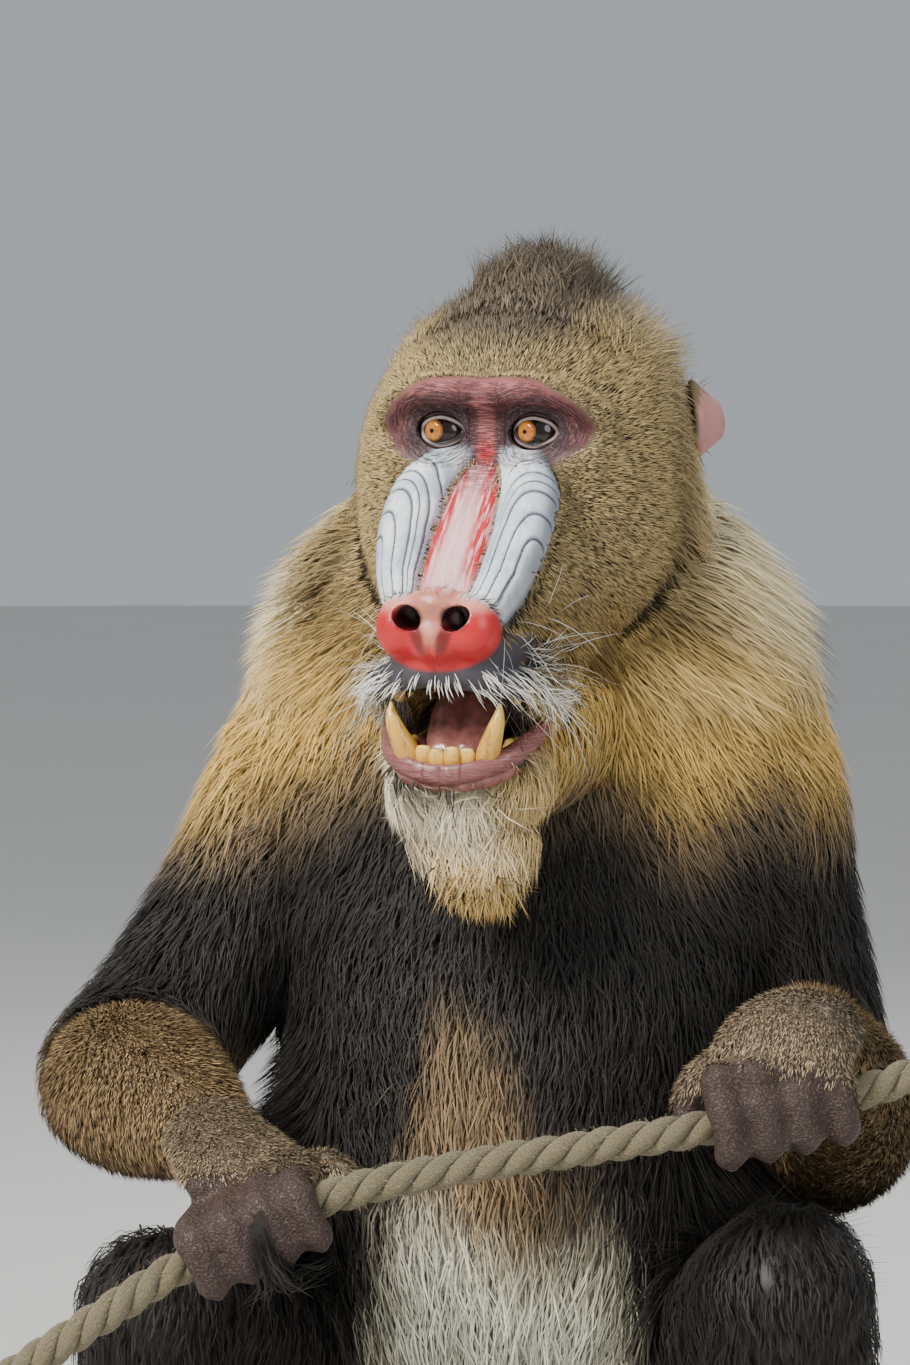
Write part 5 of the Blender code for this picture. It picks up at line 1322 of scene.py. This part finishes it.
    # The beard, and the white bristles and whiskers round the mouth
    chin = (side < 0.060) * (y < 0.014) * (z < -0.135) * (z > -0.235) * ramp(s["lip"], 0.0065,
        0.0085) * (s["mouth"] > 1.3) * isPart("head")
    growCoat("coat_beard", s, chin, beardLie, long, "beard_hair", count=12000, width=0.0009,
             lift=(0, 0.22, 0.20),
             length=lambda t: 0.013 + 0.019 * ramp(-t["head"][:, 2], 0.150, 0.190), clump=0.009, pull=0.30,
             stray=0.30, sway=0.3, swaySize=0.03, hug=False,
             droop=0.10, seed=111)
    white = coatFinish("White bristles", "long", 0.45)
    lip = (1 - ramp(y, -0.030, -0.008)) * ramp(z, -0.146, -0.132) * (1
        - ramp(z, -0.118, -0.104)) * (s["nose"] > 1.05) * (s["mouth"] > 1.2) \
        * isPart("head") * (normal[:, 2] > -0.80)
    growCoat("coat_bristles", s, lip, bristleLie, white, "beard_hair", tint=(0.90, 0.87, 0.78), count=620,
             width=0.00062,
             length=lambda t: 0.010 + 0.010 * ramp(np.abs(t["head"][:, 0]), 0.008, 0.040),
             lift=(0, 0.20, 0.30),
             clump=0.0, stray=0.14, hug=False, droop=0.12, seed=121)
    cheek = (side > 0.022) * (y < -0.030) * (y > -0.088) * (z > -0.138) * (z <
        -0.090) * (s["nose"] > 1.05) * isPart("head")
    growCoat("coat_whiskers", s, cheek, whiskerLie, white, "beard_hair", tint=(0.88, 0.86, 0.82), count=110,
             length=0.044, width=0.00045,
             stations=(0, 0.2, 0.4, 0.6, 0.8, 1.0), lift=(0, 0.10, 0.18, 0.25, 0.30, 0.34),
             taper=(1.0, 0.85, 0.7, 0.5),
             clump=0.0, stray=0.24, hug=False, droop=0.30, seed=131)


def legLie(s):
    return unit(s["ahead"] * 0.35 + np.array([0, 0.1, -0.9]))


def beardLie(s):
    h = s["head"]
    way = np.stack([(0.022 - h[:, 0]) * 7 * ramp(-h[:, 2], 0.16, 0.20) + h[:, 0] * 12
                    * (1 - ramp(-h[:, 2], 0.15, 0.19)),
                    -0.10 * np.ones(len(h)), -np.ones(len(h))], axis=-1)
    return unit(way @ headTurn)


def bristleLie(s):
    h = s["head"]
    return unit(np.stack([h[:, 0] * 26, -0.12 * np.ones(len(h)), -0.75 + 9 * np.abs(h[:, 0])],
        axis=-1) @ headTurn)


def whiskerLie(s):
    h = s["head"]
    return unit(np.stack([np.sign(h[:, 0]), 0.10 * np.ones(len(h)), -0.10 + (h[:, 2] + 0.10) * 14],
        axis=-1) @ headTurn)


def handFur(points, normals):
    # 1 on the back of each hand, fading out past the knuckles
    out = np.zeros(len(points))
    for side in ("R", "L"):
        knuckles = np.array([k[0] for k in hands[side]["knuckles"]])
        near = np.linalg.norm(points - knuckles.mean(axis=0), axis=1) < 0.12
        ahead = -(points[:, 1] - knuckles[:, 1].mean()) - (points[:, 2] - knuckles[:, 2].mean()) * 0.9
        out = np.maximum(out, near * (1 - ramp(ahead, -0.006, 0.008)) * ramp(normals[:, 2], -0.45, -0.1))
    return out


# Eyes
def eyeFinish():
    material, w, shader = newFinish("Eye", {"Roughness": 0.12, "Specular IOR Level": 0.25,
        "Coat Weight": 0.7, "Coat Roughness": 0.02})
    turn = w.value("turn")
    spokes = w.noise(w.colour("iris"), 1.0, 3.0, 0.7)
    amber = w.mixed(spokes.between(0.35, 0.65), (0.62, 0.24, 0.022), (0.30, 0.085, 0.010))
    amber = w.mixed(turn.between(eye["iris"] - 8, eye["iris"] - 1) * 0.75, amber, (0.080, 0.030, 0.008))
    amber = w.mixed(1 - turn.between(eye["pupil"] - 0.4, eye["pupil"] + 0.8), amber, (0.002, 0.002, 0.002))
    white = w.mixed(turn.between(eye["iris"] + 4, 60), (0.006, 0.003, 0.003), (0.022, 0.009, 0.006))
    feed(shader, w, Base_Color=w.mixed(turn.between(eye["iris"] - 0.6, eye["iris"] + 1.4), amber, white))
    return material


def buildEyes():
    finish = eyeFinish()
    for side, word in ((-1, "right"), (1, "left")):
        # Rings round the way that the eye looks: its sine out and its cosine ahead, with the cornea raised.
        angle = np.radians(np.concatenate([np.linspace(1.5, 42, 28), np.linspace(46, 176, 26)]))
        swell = eye["radius"] - 0.0003 + 0.0009 * (1 - ramp(np.degrees(angle), 18, 33))
        around = np.arange(64) * 2 * math.pi / 64
        rings = np.stack([np.sin(angle)[:, None] * np.cos(around), -np.cos(angle)[:, None] * np.ones(64),
                          np.sin(angle)[:, None] * np.sin(around)], axis=-1) * swell[:, None, None]
        poles = np.array([(0, -swell[0], 0), (0, swell[-1], 0)])
        gaze = Matrix.Translation((side * eye["side"], 0, 0)) @ Matrix.Rotation(math.radians(eye["gaze"]), 4,
            "Z") \
            @ Matrix.Rotation(math.radians(-eye["rise"]), 4, "X")
        points = moved(moved(np.vstack([rings.reshape(-1, 3), poles]), gaze), headPlace)
        obj = makeMesh("eyeball_" + word, (points, gridFaces(54, 64) + capFaces(54, 64)))
        turn = np.concatenate([np.repeat(np.degrees(angle), 64), [0, 180]])
        keep(obj.data, "turn", turn)
        spin = np.concatenate([np.tile(around, 54), [0, 0]])
        keep(obj.data, "iris", np.stack([np.cos(spin) * 9, np.sin(spin) * 9, turn * 0.05], axis=-1))
        obj.data.materials.append(finish)
        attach(obj, "root")
        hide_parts("eye_" + word)
        buildLids(side, word)


lids = {"width": 1.04, "height": 0.55, "sharp": 1.6}


def buildLids(side, word):
    # A ring round the eye: turn about the opening, and a profile that runs from the eyeball over the pale
    # rim,
    # through a fold and in under the brow. Both are angles on the eyeball, with the radius changed along the
    # profile.
    scale = np.array([0.80, 0.93, 0.965, 0.985, 1.01, 1.05, 1.10, 1.16, 1.22, 1.29, 1.36, 1.46, 1.56])
    radius = np.array([0.0118, 0.0121, 0.0124, 0.0130, 0.0134, 0.0136, 0.0136, 0.0133, 0.0137, 0.0140,
        0.0140, 0.0136, 0.0128])
    n = 96
    a = np.arange(n) * 2 * math.pi / n
    ca = np.sign(np.cos(a)) * np.abs(np.cos(a)) ** (2 / lids["sharp"])
    sa = np.sign(np.sin(a)) * np.abs(np.sin(a)) ** (2 / lids["sharp"])
    outer = np.where(ca * side > 0, 1.06, 0.98)
    turn = scale[:, None] * lids["width"] * ca * outer
    rise = scale[:, None] * lids["height"] * sa * np.where(sa > 0, 1.06, 0.94) + 0.05 * ca * side * -1 * 0.6
    rise = rise + np.where(sa > 0, 0.05, 0.0) * scale[:, None] ** 4 * (scale[:, None] > 1.2) * sa
    turn, rise = np.clip(turn, -1.5, 1.5), np.clip(rise, -1.2, 1.2)
    r = radius[:, None]
    points = np.stack([r * np.sin(turn) * np.cos(rise), -r * np.cos(turn) * np.cos(rise), r * np.sin(rise)],
        axis=-1)
    points = points + np.array([side * eye["side"], 0, 0])
    obj = makeMesh("lids_" + word, (moved(points.reshape(-1, 3), headPlace), gridFaces(len(scale), n)),
        outward=False)
    thick = obj.modifiers.new("Thick", "SOLIDIFY")
    thick.thickness = 0.0006
    thick.offset = 1.0
    applied(obj)
    rounder = obj.modifiers.new("Round", "SUBSURF")
    rounder.levels = 1
    rounder.render_levels = 1
    applied(obj)
    h = inHead(vertexArray(obj.data)) - np.array([side * eye["side"], 0, 0])
    far = np.linalg.norm(h, axis=1)
    rise = np.arcsin(np.clip(h[:, 2] / far, -1, 1))
    turn = np.arctan2(h[:, 0], -h[:, 1])
    level = (np.abs(turn / lids["width"]) ** lids["sharp"]
        + np.abs(rise / lids["height"]) ** lids["sharp"]) ** (1 / lids["sharp"])
    keep(obj.data, "level", level)
    keep(obj.data, "below", ramp(-rise, -0.1, 0.1))
    obj.data.polygons.foreach_set("use_smooth", np.ones(len(obj.data.polygons), bool))
    obj.data.materials.append(lidFinish())
    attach(obj, "root")


def lidFinish():
    material, w, shader = newFinish("Eyelid", {"Specular IOR Level": 0.35})
    level = w.value("level")
    # Across the lid from the eyeball outwards: dark against the eye, the pale rim, painted shade in the fold,
    # a pale band, and a painted shadow line where the lid meets the skin.
    rim = w.node("ValToRGB", {"stops": [(0.0, (0.006, 0.004, 0.004)), (0.485, (0.008, 0.005, 0.005)),
                                        (0.510, (0.50, 0.40, 0.36)),
                                        (0.560, (0.46, 0.35, 0.32)), (0.585, (0.045, 0.025, 0.026)),
                                        (0.655, (0.055, 0.030, 0.032)),
                                        (0.690, (0.26, 0.17, 0.16)), (0.730, (0.060, 0.030, 0.032))]},
        {"Fac": level * 0.5})
    wrinkle = w.noise(w.place(), 700.0, 3.0, 0.6)
    feed(shader, w, Base_Color=w.mixed(wrinkle * 0.5, rim, (0.030, 0.020, 0.022), "MIX"), Roughness=0.30
         + wrinkle * 0.3,
         Normal=w.bump(wrinkle, 0.3, 0.0004))
    return material


# Teeth, gums and tongue
teeth = {"canine": [(0.0180, -0.072, -0.1725, 0.0064, 0.0070), (0.0210, -0.077, -0.1620, 0.0062, 0.0066),
                    (0.0252, -0.081, -0.1515, 0.0050, 0.0052), (0.0282, -0.082, -0.1425, 0.0034, 0.0034),
                    (0.0288, -0.081, -0.1355, 0.0011, 0.0011)],
         "incisors": [(0.0110, -0.078, -0.0030), (0.0038, -0.0805, -0.0022), (-0.0042, -0.0805, -0.0034),
         (-0.0118, -0.078, -0.0020)],
         "upperCanine": [(0.0300, -0.060, -0.1180, 0.0055, 0.0060), (0.0310, -0.061, -0.1270, 0.0046, 0.0050),
                         (0.0315, -0.060, -0.1340, 0.0030, 0.0032)]}


def toothFinish():
    material, w, shader = newFinish("Tooth", {"Specular IOR Level": 0.6, "Coat Weight": 0.5,
                                              "Coat Roughness": 0.12,
                                              "Subsurface Weight": 0.1, "Subsurface Radius": (0.003, 0.002,
        0.001)})
    along = w.value("along")
    stain = w.noise(w.stretched(w.place(), (260, 260, 90)), 1.0, 4.0, 0.6)
    ivory = w.node("ValToRGB", {"stops": [(0.0, (0.32, 0.12, 0.018)), (0.25, (0.62, 0.28, 0.028)),
                                          (0.7, (0.80, 0.44, 0.055)),
                                          (1.0, (0.86, 0.60, 0.15))]}, {"Fac": along})
    feed(shader, w, Base_Color=w.mixed(stain.between(0.50, 0.72) * 0.75, ivory, (0.20, 0.085, 0.018)),
         Roughness=0.22 + stain * 0.25,
         Normal=w.bump(stain, 0.15, 0.0005))
    return material


def addPiece(name, shapes, finish, replaced=(), along=None, smooth=True):
    obj = makeMesh(name, joined([(moved(p, headPlace), f) for p, f in shapes]), smooth)
    if along is not None:
        keep(obj.data, "along", along)
    obj.data.materials.append(finish)
    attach(obj, "root")
    if replaced:
        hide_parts(*replaced)
    return obj


def heights(shapes):
    return np.concatenate([(p[:, 2] - p[:, 2].min()) / np.ptp(p[:, 2]) for p, f in shapes])


def buildTeeth():
    finish = toothFinish()
    for side, word in ((-1, "right"), (1, "left")):
        rows = [(side * r[0],) + r[1:] for r in teeth["canine"]]
        shapes = [tube(rows, around=24, perSpan=6, ends=0.9)]
        addPiece("canine_tooth_" + word, shapes, finish, ["canine_" + word], heights(shapes))
        rows = [(side * r[0],) + r[1:] for r in teeth["upperCanine"]]
        shapes = [tube(rows, around=20, perSpan=5, ends=0.9)]
        addPiece("upper_tooth_" + word, shapes, finish, (), 1 - heights(shapes))
    shapes = []
    for x, yAt, up in teeth["incisors"]:
        shapes.append(tube([(x, yAt + 0.003, -0.1725, 0.0036, 0.0034), (x, yAt, -0.1640 + up, 0.0043, 0.0036),
                            (x * 1.01, yAt - 0.002, -0.1585 + up, 0.0043, 0.0027),
                           (x * 1.01, yAt - 0.0028, -0.1558 + up, 0.0036, 0.0016)],
                           around=20, square=2.8, up=(0, 1, 0.2)))
    for side in (-1, 1):  # cheek teeth, just showing behind the canines
        for k in range(3):
            yAt = -0.056 + 0.010 * k
            shapes.append(tube([(side * (0.0265 + 0.001 * k), yAt, -0.170, 0.0040, 0.0046),
                                (side * (0.0268 + 0.001 * k), yAt, -0.1595, 0.0042, 0.0048),
                                (side * (0.0266 + 0.001 * k), yAt, -0.1560, 0.0028, 0.0034)], around=16,
                square=2.6, up=(0, 1, 0.1)))
    addPiece("front_teeth", shapes, finish, (), heights(shapes))


def gumFinish(name, pale, deep, rough=0.22):
    material, w, shader = newFinish(name, {"Specular IOR Level": 0.6, "Coat Weight": 0.7,
                                           "Coat Roughness": 0.10,
                                           "Subsurface Weight": 0.10, "Subsurface Radius": (0.005, 0.002,
        0.001)})
    blotch = w.noise(w.place(), 130.0, 4.0, 0.6)
    buds = w.noise(w.place(), 1100.0, 2.0, 0.5)
    feed(shader, w, Base_Color=w.mixed(blotch.between(0.35, 0.65), pale, deep), Roughness=rough + blotch
         * 0.25,
         Normal=w.bump(buds * 0.5 + blotch, 0.35, 0.0006))
    return material


tongue = [(-0.010, 0.013, -0.124, -0.152), (-0.026, 0.018, -0.122, -0.156), (-0.042, 0.0195, -0.130, -0.160),
          (-0.058, 0.0175, -0.146, -0.1635), (-0.070, 0.0125, -0.155, -0.1650)]


def buildMouth():
    # The tongue rises to the back, with a groove pressed along its middle.
    points, faces = upright(tongue, around=40, perSpan=8, ends=0.5)
    middle = np.interp(points[:, 1], [r[0] for r in tongue[::-1]], [(r[2] + r[3]) / 2 for r in tongue[::-1]])
    top = points[:, 2] > middle
    points[:, 2] -= top * 0.0032 * np.exp(-(points[:, 0] / 0.0028) ** 2)
    points[:, 2] += 0.0004 * np.sin(points[:, 1] * 900) * np.sin(points[:, 0] * 700)
    addPiece("tongue_flesh", [(points, faces)], gumFinish("Tongue", (0.44, 0.17, 0.15), (0.27, 0.10, 0.09)),
        ["tongue"])
    gum = [(0.031, -0.040, -0.163, 0.0050, 0.0055), (0.027, -0.060, -0.168, 0.0062, 0.0060),
           (0.019, -0.072, -0.172, 0.0080, 0.0066),
           (0.0, -0.078, -0.174, 0.0070, 0.0066)]
    rows = gum + [(-r[0],) + r[1:] for r in gum[-2::-1]]
    addPiece("gum_lower", [tube(rows, around=20, perSpan=8)],
        gumFinish("Gum", (0.46, 0.17, 0.14), (0.26, 0.075, 0.07)))
    pouch = [(0.037, -0.036, -0.156, 0.0040, 0.0060), (0.0335, -0.056, -0.163, 0.0035, 0.0050),
        (0.0240, -0.073, -0.1705, 0.0030, 0.0035)]
    black = gumFinish("Dark gum", (0.016, 0.012, 0.016), (0.006, 0.005, 0.007), 0.10)
    addPiece("gum_dark", [tube(pouch, around=16, perSpan=6), tube(mirrored(pouch), around=16, perSpan=6)],
        black)
    # Palate: ribs across the roof of the mouth
    roof = [(-0.070, 0.026, -0.1205, -0.1270), (-0.050, 0.026, -0.1150, -0.1230),
        (-0.025, 0.024, -0.1130, -0.1220)]
    points, faces = upright(roof, around=40, perSpan=14, ends=0.4)
    points[:, 2] -= 0.0007 * np.sin(points[:, 1] * 2 * math.pi / 0.0045) * (points[:, 2] < -0.118)
    addPiece("palate", [(points, faces)], gumFinish("Palate", (0.24, 0.085, 0.075), (0.12, 0.040, 0.038)))


# The rope
def ropeCentre(step):
    line = curve([r[:3] for r in ropeLine], 24)
    far = np.concatenate([[0], np.cumsum(np.linalg.norm(np.diff(line, axis=0), axis=1))])
    at = np.linspace(0, far[-1], int(far[-1] / step))
    centre = np.stack([np.interp(at, far, line[:, k]) for k in range(3)], axis=1)
    ahead = unit(np.gradient(centre, axis=0))
    side = unit(np.cross(ahead, (0, 0, 1.0)))
    return at, centre, side, np.cross(side, ahead)


def sweep(centre, side, top, radius, around, ripple=None):
    # A round profile carried along a path: cosine across and sine up, each ring closed, and a pole at both
    # ends.
    angle = np.arange(around) * 2 * math.pi / around
    reach = np.broadcast_to(radius[:, None], (len(centre), around)) * (1 if ripple is None else ripple)
    rings = centre[:, None] + reach[..., None] * (np.cos(angle)[None, :, None] * side[:, None]
        + np.sin(angle)[None, :, None] * top[:, None])
    points = np.vstack([rings.reshape(-1, 3), centre[0], centre[-1]])
    return points, gridFaces(len(centre), around) + capFaces(len(centre), around)


def ropeFinish():
    material, w, shader = newFinish("Rope", {"Roughness": 0.85, "Specular IOR Level": 0.2,
        "Sheen Weight": 0.15})
    yarn = w.colour("yarn")
    fibre = w.noise(w.stretched(yarn, (1.0, 26.0, 1.0)), 1.0, 3.0, 0.65)
    lay = w.node("TexWave", {"bands_direction": "DIAGONAL"}, {"Vector": w.stretched(yarn, (1.1, 5.6, 0.0)),
                                                               "Scale": 0.55,
                                                               "Distortion": 1.2, "Detail": 2.0}, "Fac")
    dirt = w.noise(w.place(), 38.0, 3.0)
    colour = w.mixed(fibre.between(0.30, 0.70), (0.075, 0.058, 0.028), (0.480, 0.400, 0.240))
    # Painted shade: each strand darkens on its inner side, where the strands press together.
    colour = w.mixed(w.value("crease") * 0.95, colour, (0.022, 0.016, 0.008))
    colour = w.mixed(dirt.between(0.45, 0.75) * 0.4, colour, (0.16, 0.15, 0.085))
    feed(shader, w, Base_Color=colour, Normal=w.bump(lay * 0.7 + fibre * 0.8, 0.9, 0.0009))
    return material


def buildRope():
    finish = ropeFinish()
    at, centre, side, top = ropeCentre(0.0016)
    shapes, creases, yarns = [], [], []
    strand = ropeSizes["radius"] * 0.535
    for k in range(3):
        turn = 2 * math.pi * (at / ropeSizes["lay"] + k / 3)
        out = np.cos(turn)[:, None] * side + np.sin(turn)[:, None] * top
        path = centre + out * ropeSizes["radius"] * 0.49
        ahead = unit(np.gradient(path, axis=0))
        across = unit(np.cross(ahead, out))
        radius = strand * (1 + 0.03 * np.sin(at * 410 + k))
        angle = np.arange(18) * 2 * math.pi / 18
        # Fine yarns make a ripple that winds round the strand the other way.
        ripple = 1 + 0.035 * np.cos(7 * (angle[None, :] + at[:, None] * 95))
        shapes.append(sweep(path, across, out, radius, 18, ripple))
        # Painted shade on the inner side of each strand, where it presses on the others.
        strandShade = 1 - ramp(np.sin(angle), -0.35, 0.45)
        creases.append(np.concatenate([np.tile(strandShade, len(at)), [1, 1]]))
        yarn = np.stack([np.tile(at[:, None] * 1000, (1, 18)), np.tile(angle[None, :], (len(at), 1)),
            np.full((len(at), 18), k * 7.0)], axis=-1)
        yarns.append(np.vstack([yarn.reshape(-1, 3), [(0, 0, 0), (0, 0, 0)]]))
    rope = makeMesh("rope_laid", joined(shapes))
    keep(rope.data, "crease", np.concatenate(creases))
    keep(rope.data, "yarn", np.vstack(yarns))
    rope.data.materials.append(finish)
    # Each end is worked into a stopper knot: a closed line that goes twice round the rope while it winds
    # three times in and out.
    t = np.linspace(0, 2 * math.pi, 221)[:-1]
    shapes = []
    for end, away in ((0, 1), (-1, -1)):
        ahead = unit(centre[end] - centre[end + away * 6])
        s, u = side[end], np.cross(side[end], ahead)
        ring = 0.0086 + 0.0036 * np.cos(3 * t)
        line = centre[end] + ring[:, None] * (np.cos(2 * t)[:, None] * s + np.sin(2 * t)[:, None] * u) \
            + 0.0058 * np.sin(3 * t)[:, None] * ahead
        way = unit(np.roll(line, -1, axis=0) - np.roll(line, 1, axis=0))
        out = unit(line - centre[end] - np.sum((line - centre[end]) * way, axis=1)[:, None] * way)
        across = np.cross(way, out)
        angle = np.arange(14) * 2 * math.pi / 14
        rings = line[:, None] + 0.0046 * (np.cos(angle)[None, :, None] * across[:, None]
            + np.sin(angle)[None, :, None] * out[:, None])
        r, j = np.arange(220)[:, None] * 14, np.arange(14)[None, :]
        nxt, k = (np.arange(220)[:, None] + 1) % 220 * 14, (np.arange(14)[None, :] + 1) % 14
        shapes.append((rings.reshape(-1, 3), np.stack([r + j, r + k, nxt + k, nxt + j], axis=-1).reshape(-1,
            4).tolist()))
    knots = makeMesh("rope_knots", joined(shapes))
    yarn = np.stack([np.tile(np.repeat(t * 40, 14), 2), np.tile(np.arange(14) * 2 * math.pi / 14, 440),
        np.zeros(440 * 14)], axis=-1)
    keep(knots.data, "yarn", yarn)
    keep(knots.data, "crease", np.zeros(len(yarn)))
    knots.data.materials.append(finish)
    for obj in (rope, knots):
        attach(obj, "root")
    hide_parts("rope")
    growRopeFuzz(at, centre, side, top, finish)


def growRopeFuzz(at, centre, side, top, finish):
    # Loose fibres that stand off the strands
    rng = np.random.default_rng(7)
    n = 2600
    pick = rng.integers(2, len(at) - 2, n)
    turn = rng.random(n) * 2 * math.pi
    out = np.cos(turn)[:, None] * side[pick] + np.sin(turn)[:, None] * top[pick]
    ahead = unit(np.cross(top[pick], side[pick]))
    root = centre[pick] + out * ropeSizes["radius"] * 0.93
    reach = rng.uniform(0.0015, 0.0042, n)[:, None]
    way = unit(ahead * rng.choice([-1, 1], n)[:, None] + out * rng.uniform(0.1, 0.8, n)[:, None]
        + rng.normal(0, 0.3, (n, 3)))
    path = np.stack([root, root + way * reach * 0.6 + out * 0.0003, root + way * reach], axis=1)
    width = np.full(n, 0.00026)
    looks = coatFinish("Rope fibre", "long", 0.8)
    place = np.stack([at[pick] / at[-1] * 0.98 + 0.01, turn / (2 * math.pi) * 0.98 + 0.01], axis=-1)
    tuftMesh("rope_fuzz", path, root, out, width, (1.0,), reach[:, 0], rng.random(n),
             np.tile((0.36, 0.33, 0.22), (n, 1)), place,
             looks, rng)


# Nails: a curved plate on the back of the last joint
nailSizes = {"length": 0.0090, "width": 0.0072, "thick": 0.0012}


def nailForm(tip, ahead, up, size):
    u = np.linspace(-1, 1, 9)[None, :]
    v = np.linspace(0, 1, 8)[:, None]
    across = np.cross(ahead, up)
    wide = nailSizes["width"] * size * 0.5 * np.sqrt(np.clip(1 - (np.abs(v - 0.45) / 0.75) ** 4, 0.05, 1))
    x = u * wide
    z = (1 - u ** 2) * 0.0017 * size + 0.0004 - 0.0022 * size * v ** 3
    y = (v - 0.5) * nailSizes["length"] * size
    top = tip + x[..., None] * across + y[..., None] * ahead + z[..., None] * up
    low = tip + x[..., None] * across * 0.92 + y[..., None] * ahead + (z - nailSizes["thick"])[..., None] * up
    n = 72
    points = np.vstack([top.reshape(-1, 3), low.reshape(-1, 3)])
    r, c = np.meshgrid(np.arange(7), np.arange(8), indexing="ij")
    a = (r * 9 + c).ravel()
    faces = np.stack([a, a + 1, a + 10, a + 9], axis=-1)
    rim = np.concatenate([np.arange(9), np.arange(17, 72, 9), np.arange(70, 62, -1), np.arange(54, 0, -9)])
    after = np.roll(rim, -1)
    side = np.stack([rim, after, after + n, rim + n], axis=-1)
    return points, np.vstack([faces, faces[:, ::-1] + n, side]).tolist()


def buildNails():
    material, w, shader = newFinish("Nail", {"Roughness": 0.3, "Specular IOR Level": 0.5, "Coat Weight": 0.2})
    grain = w.noise(w.place(), 500.0, 3.0)
    feed(shader, w, Base_Color=w.mixed(grain, (0.020, 0.014, 0.012), (0.085, 0.058, 0.045)))
    shapes = []
    for side in ("R", "L"):
        hand = hands[side]
        for point, at in hand["knuckles"]:
            rows = np.array(fingerRows(hand, point, at))
            start, end = np.array(hand["over"])
            centre = start + (end - start) * at
            last = rows[-2, :3]
            ahead = unit(rows[-1, :3] - rows[-3, :3])
            up = unit(last - centre - np.dot(last - centre, ahead) * ahead)
            shapes.append(nailForm(last + up * rows[-2, 3] * 0.80, ahead, up, 0.95))
        rows = np.array(hand["thumb"])
        ahead = unit(rows[-1, :3] - rows[-3, :3])
        up = unit(np.array([0, -0.5, 1.0]) - np.dot(np.array([0, -0.5, 1.0]), ahead) * ahead)
        shapes.append(nailForm(rows[-2, :3] * 0.35 + rows[-1, :3] * 0.65 + up * rows[-1, 3] * 0.85, ahead,
            up, 0.9))
    for name in feet:
        for rows in toeRows(name):
            rows = np.array(rows)
            ahead = unit(rows[-1, :3] - rows[-2, :3])
            up = unit(np.array([0, 0, 1.0]) - ahead[2] * ahead)
            shapes.append(nailForm(rows[-1, :3] + up * rows[-1, 4] * 0.80 + ahead * 0.001, ahead, up, 1.05))
    nails = makeMesh("nails", joined(shapes))
    nails.data.materials.append(material)
    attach(nails, "root")


def main():
    setUpView()
    setUpLight()
    skin = buildSkin()
    dressSkin(skin)
    print("the skin is dressed")
    buildEyes()
    buildTeeth()
    buildMouth()
    print("the face has its eyes, teeth and tongue")
    buildRope()
    buildNails()
    print("the rope and the nails are made")
    growCoats(skin)
    print("the coat is grown")


main()
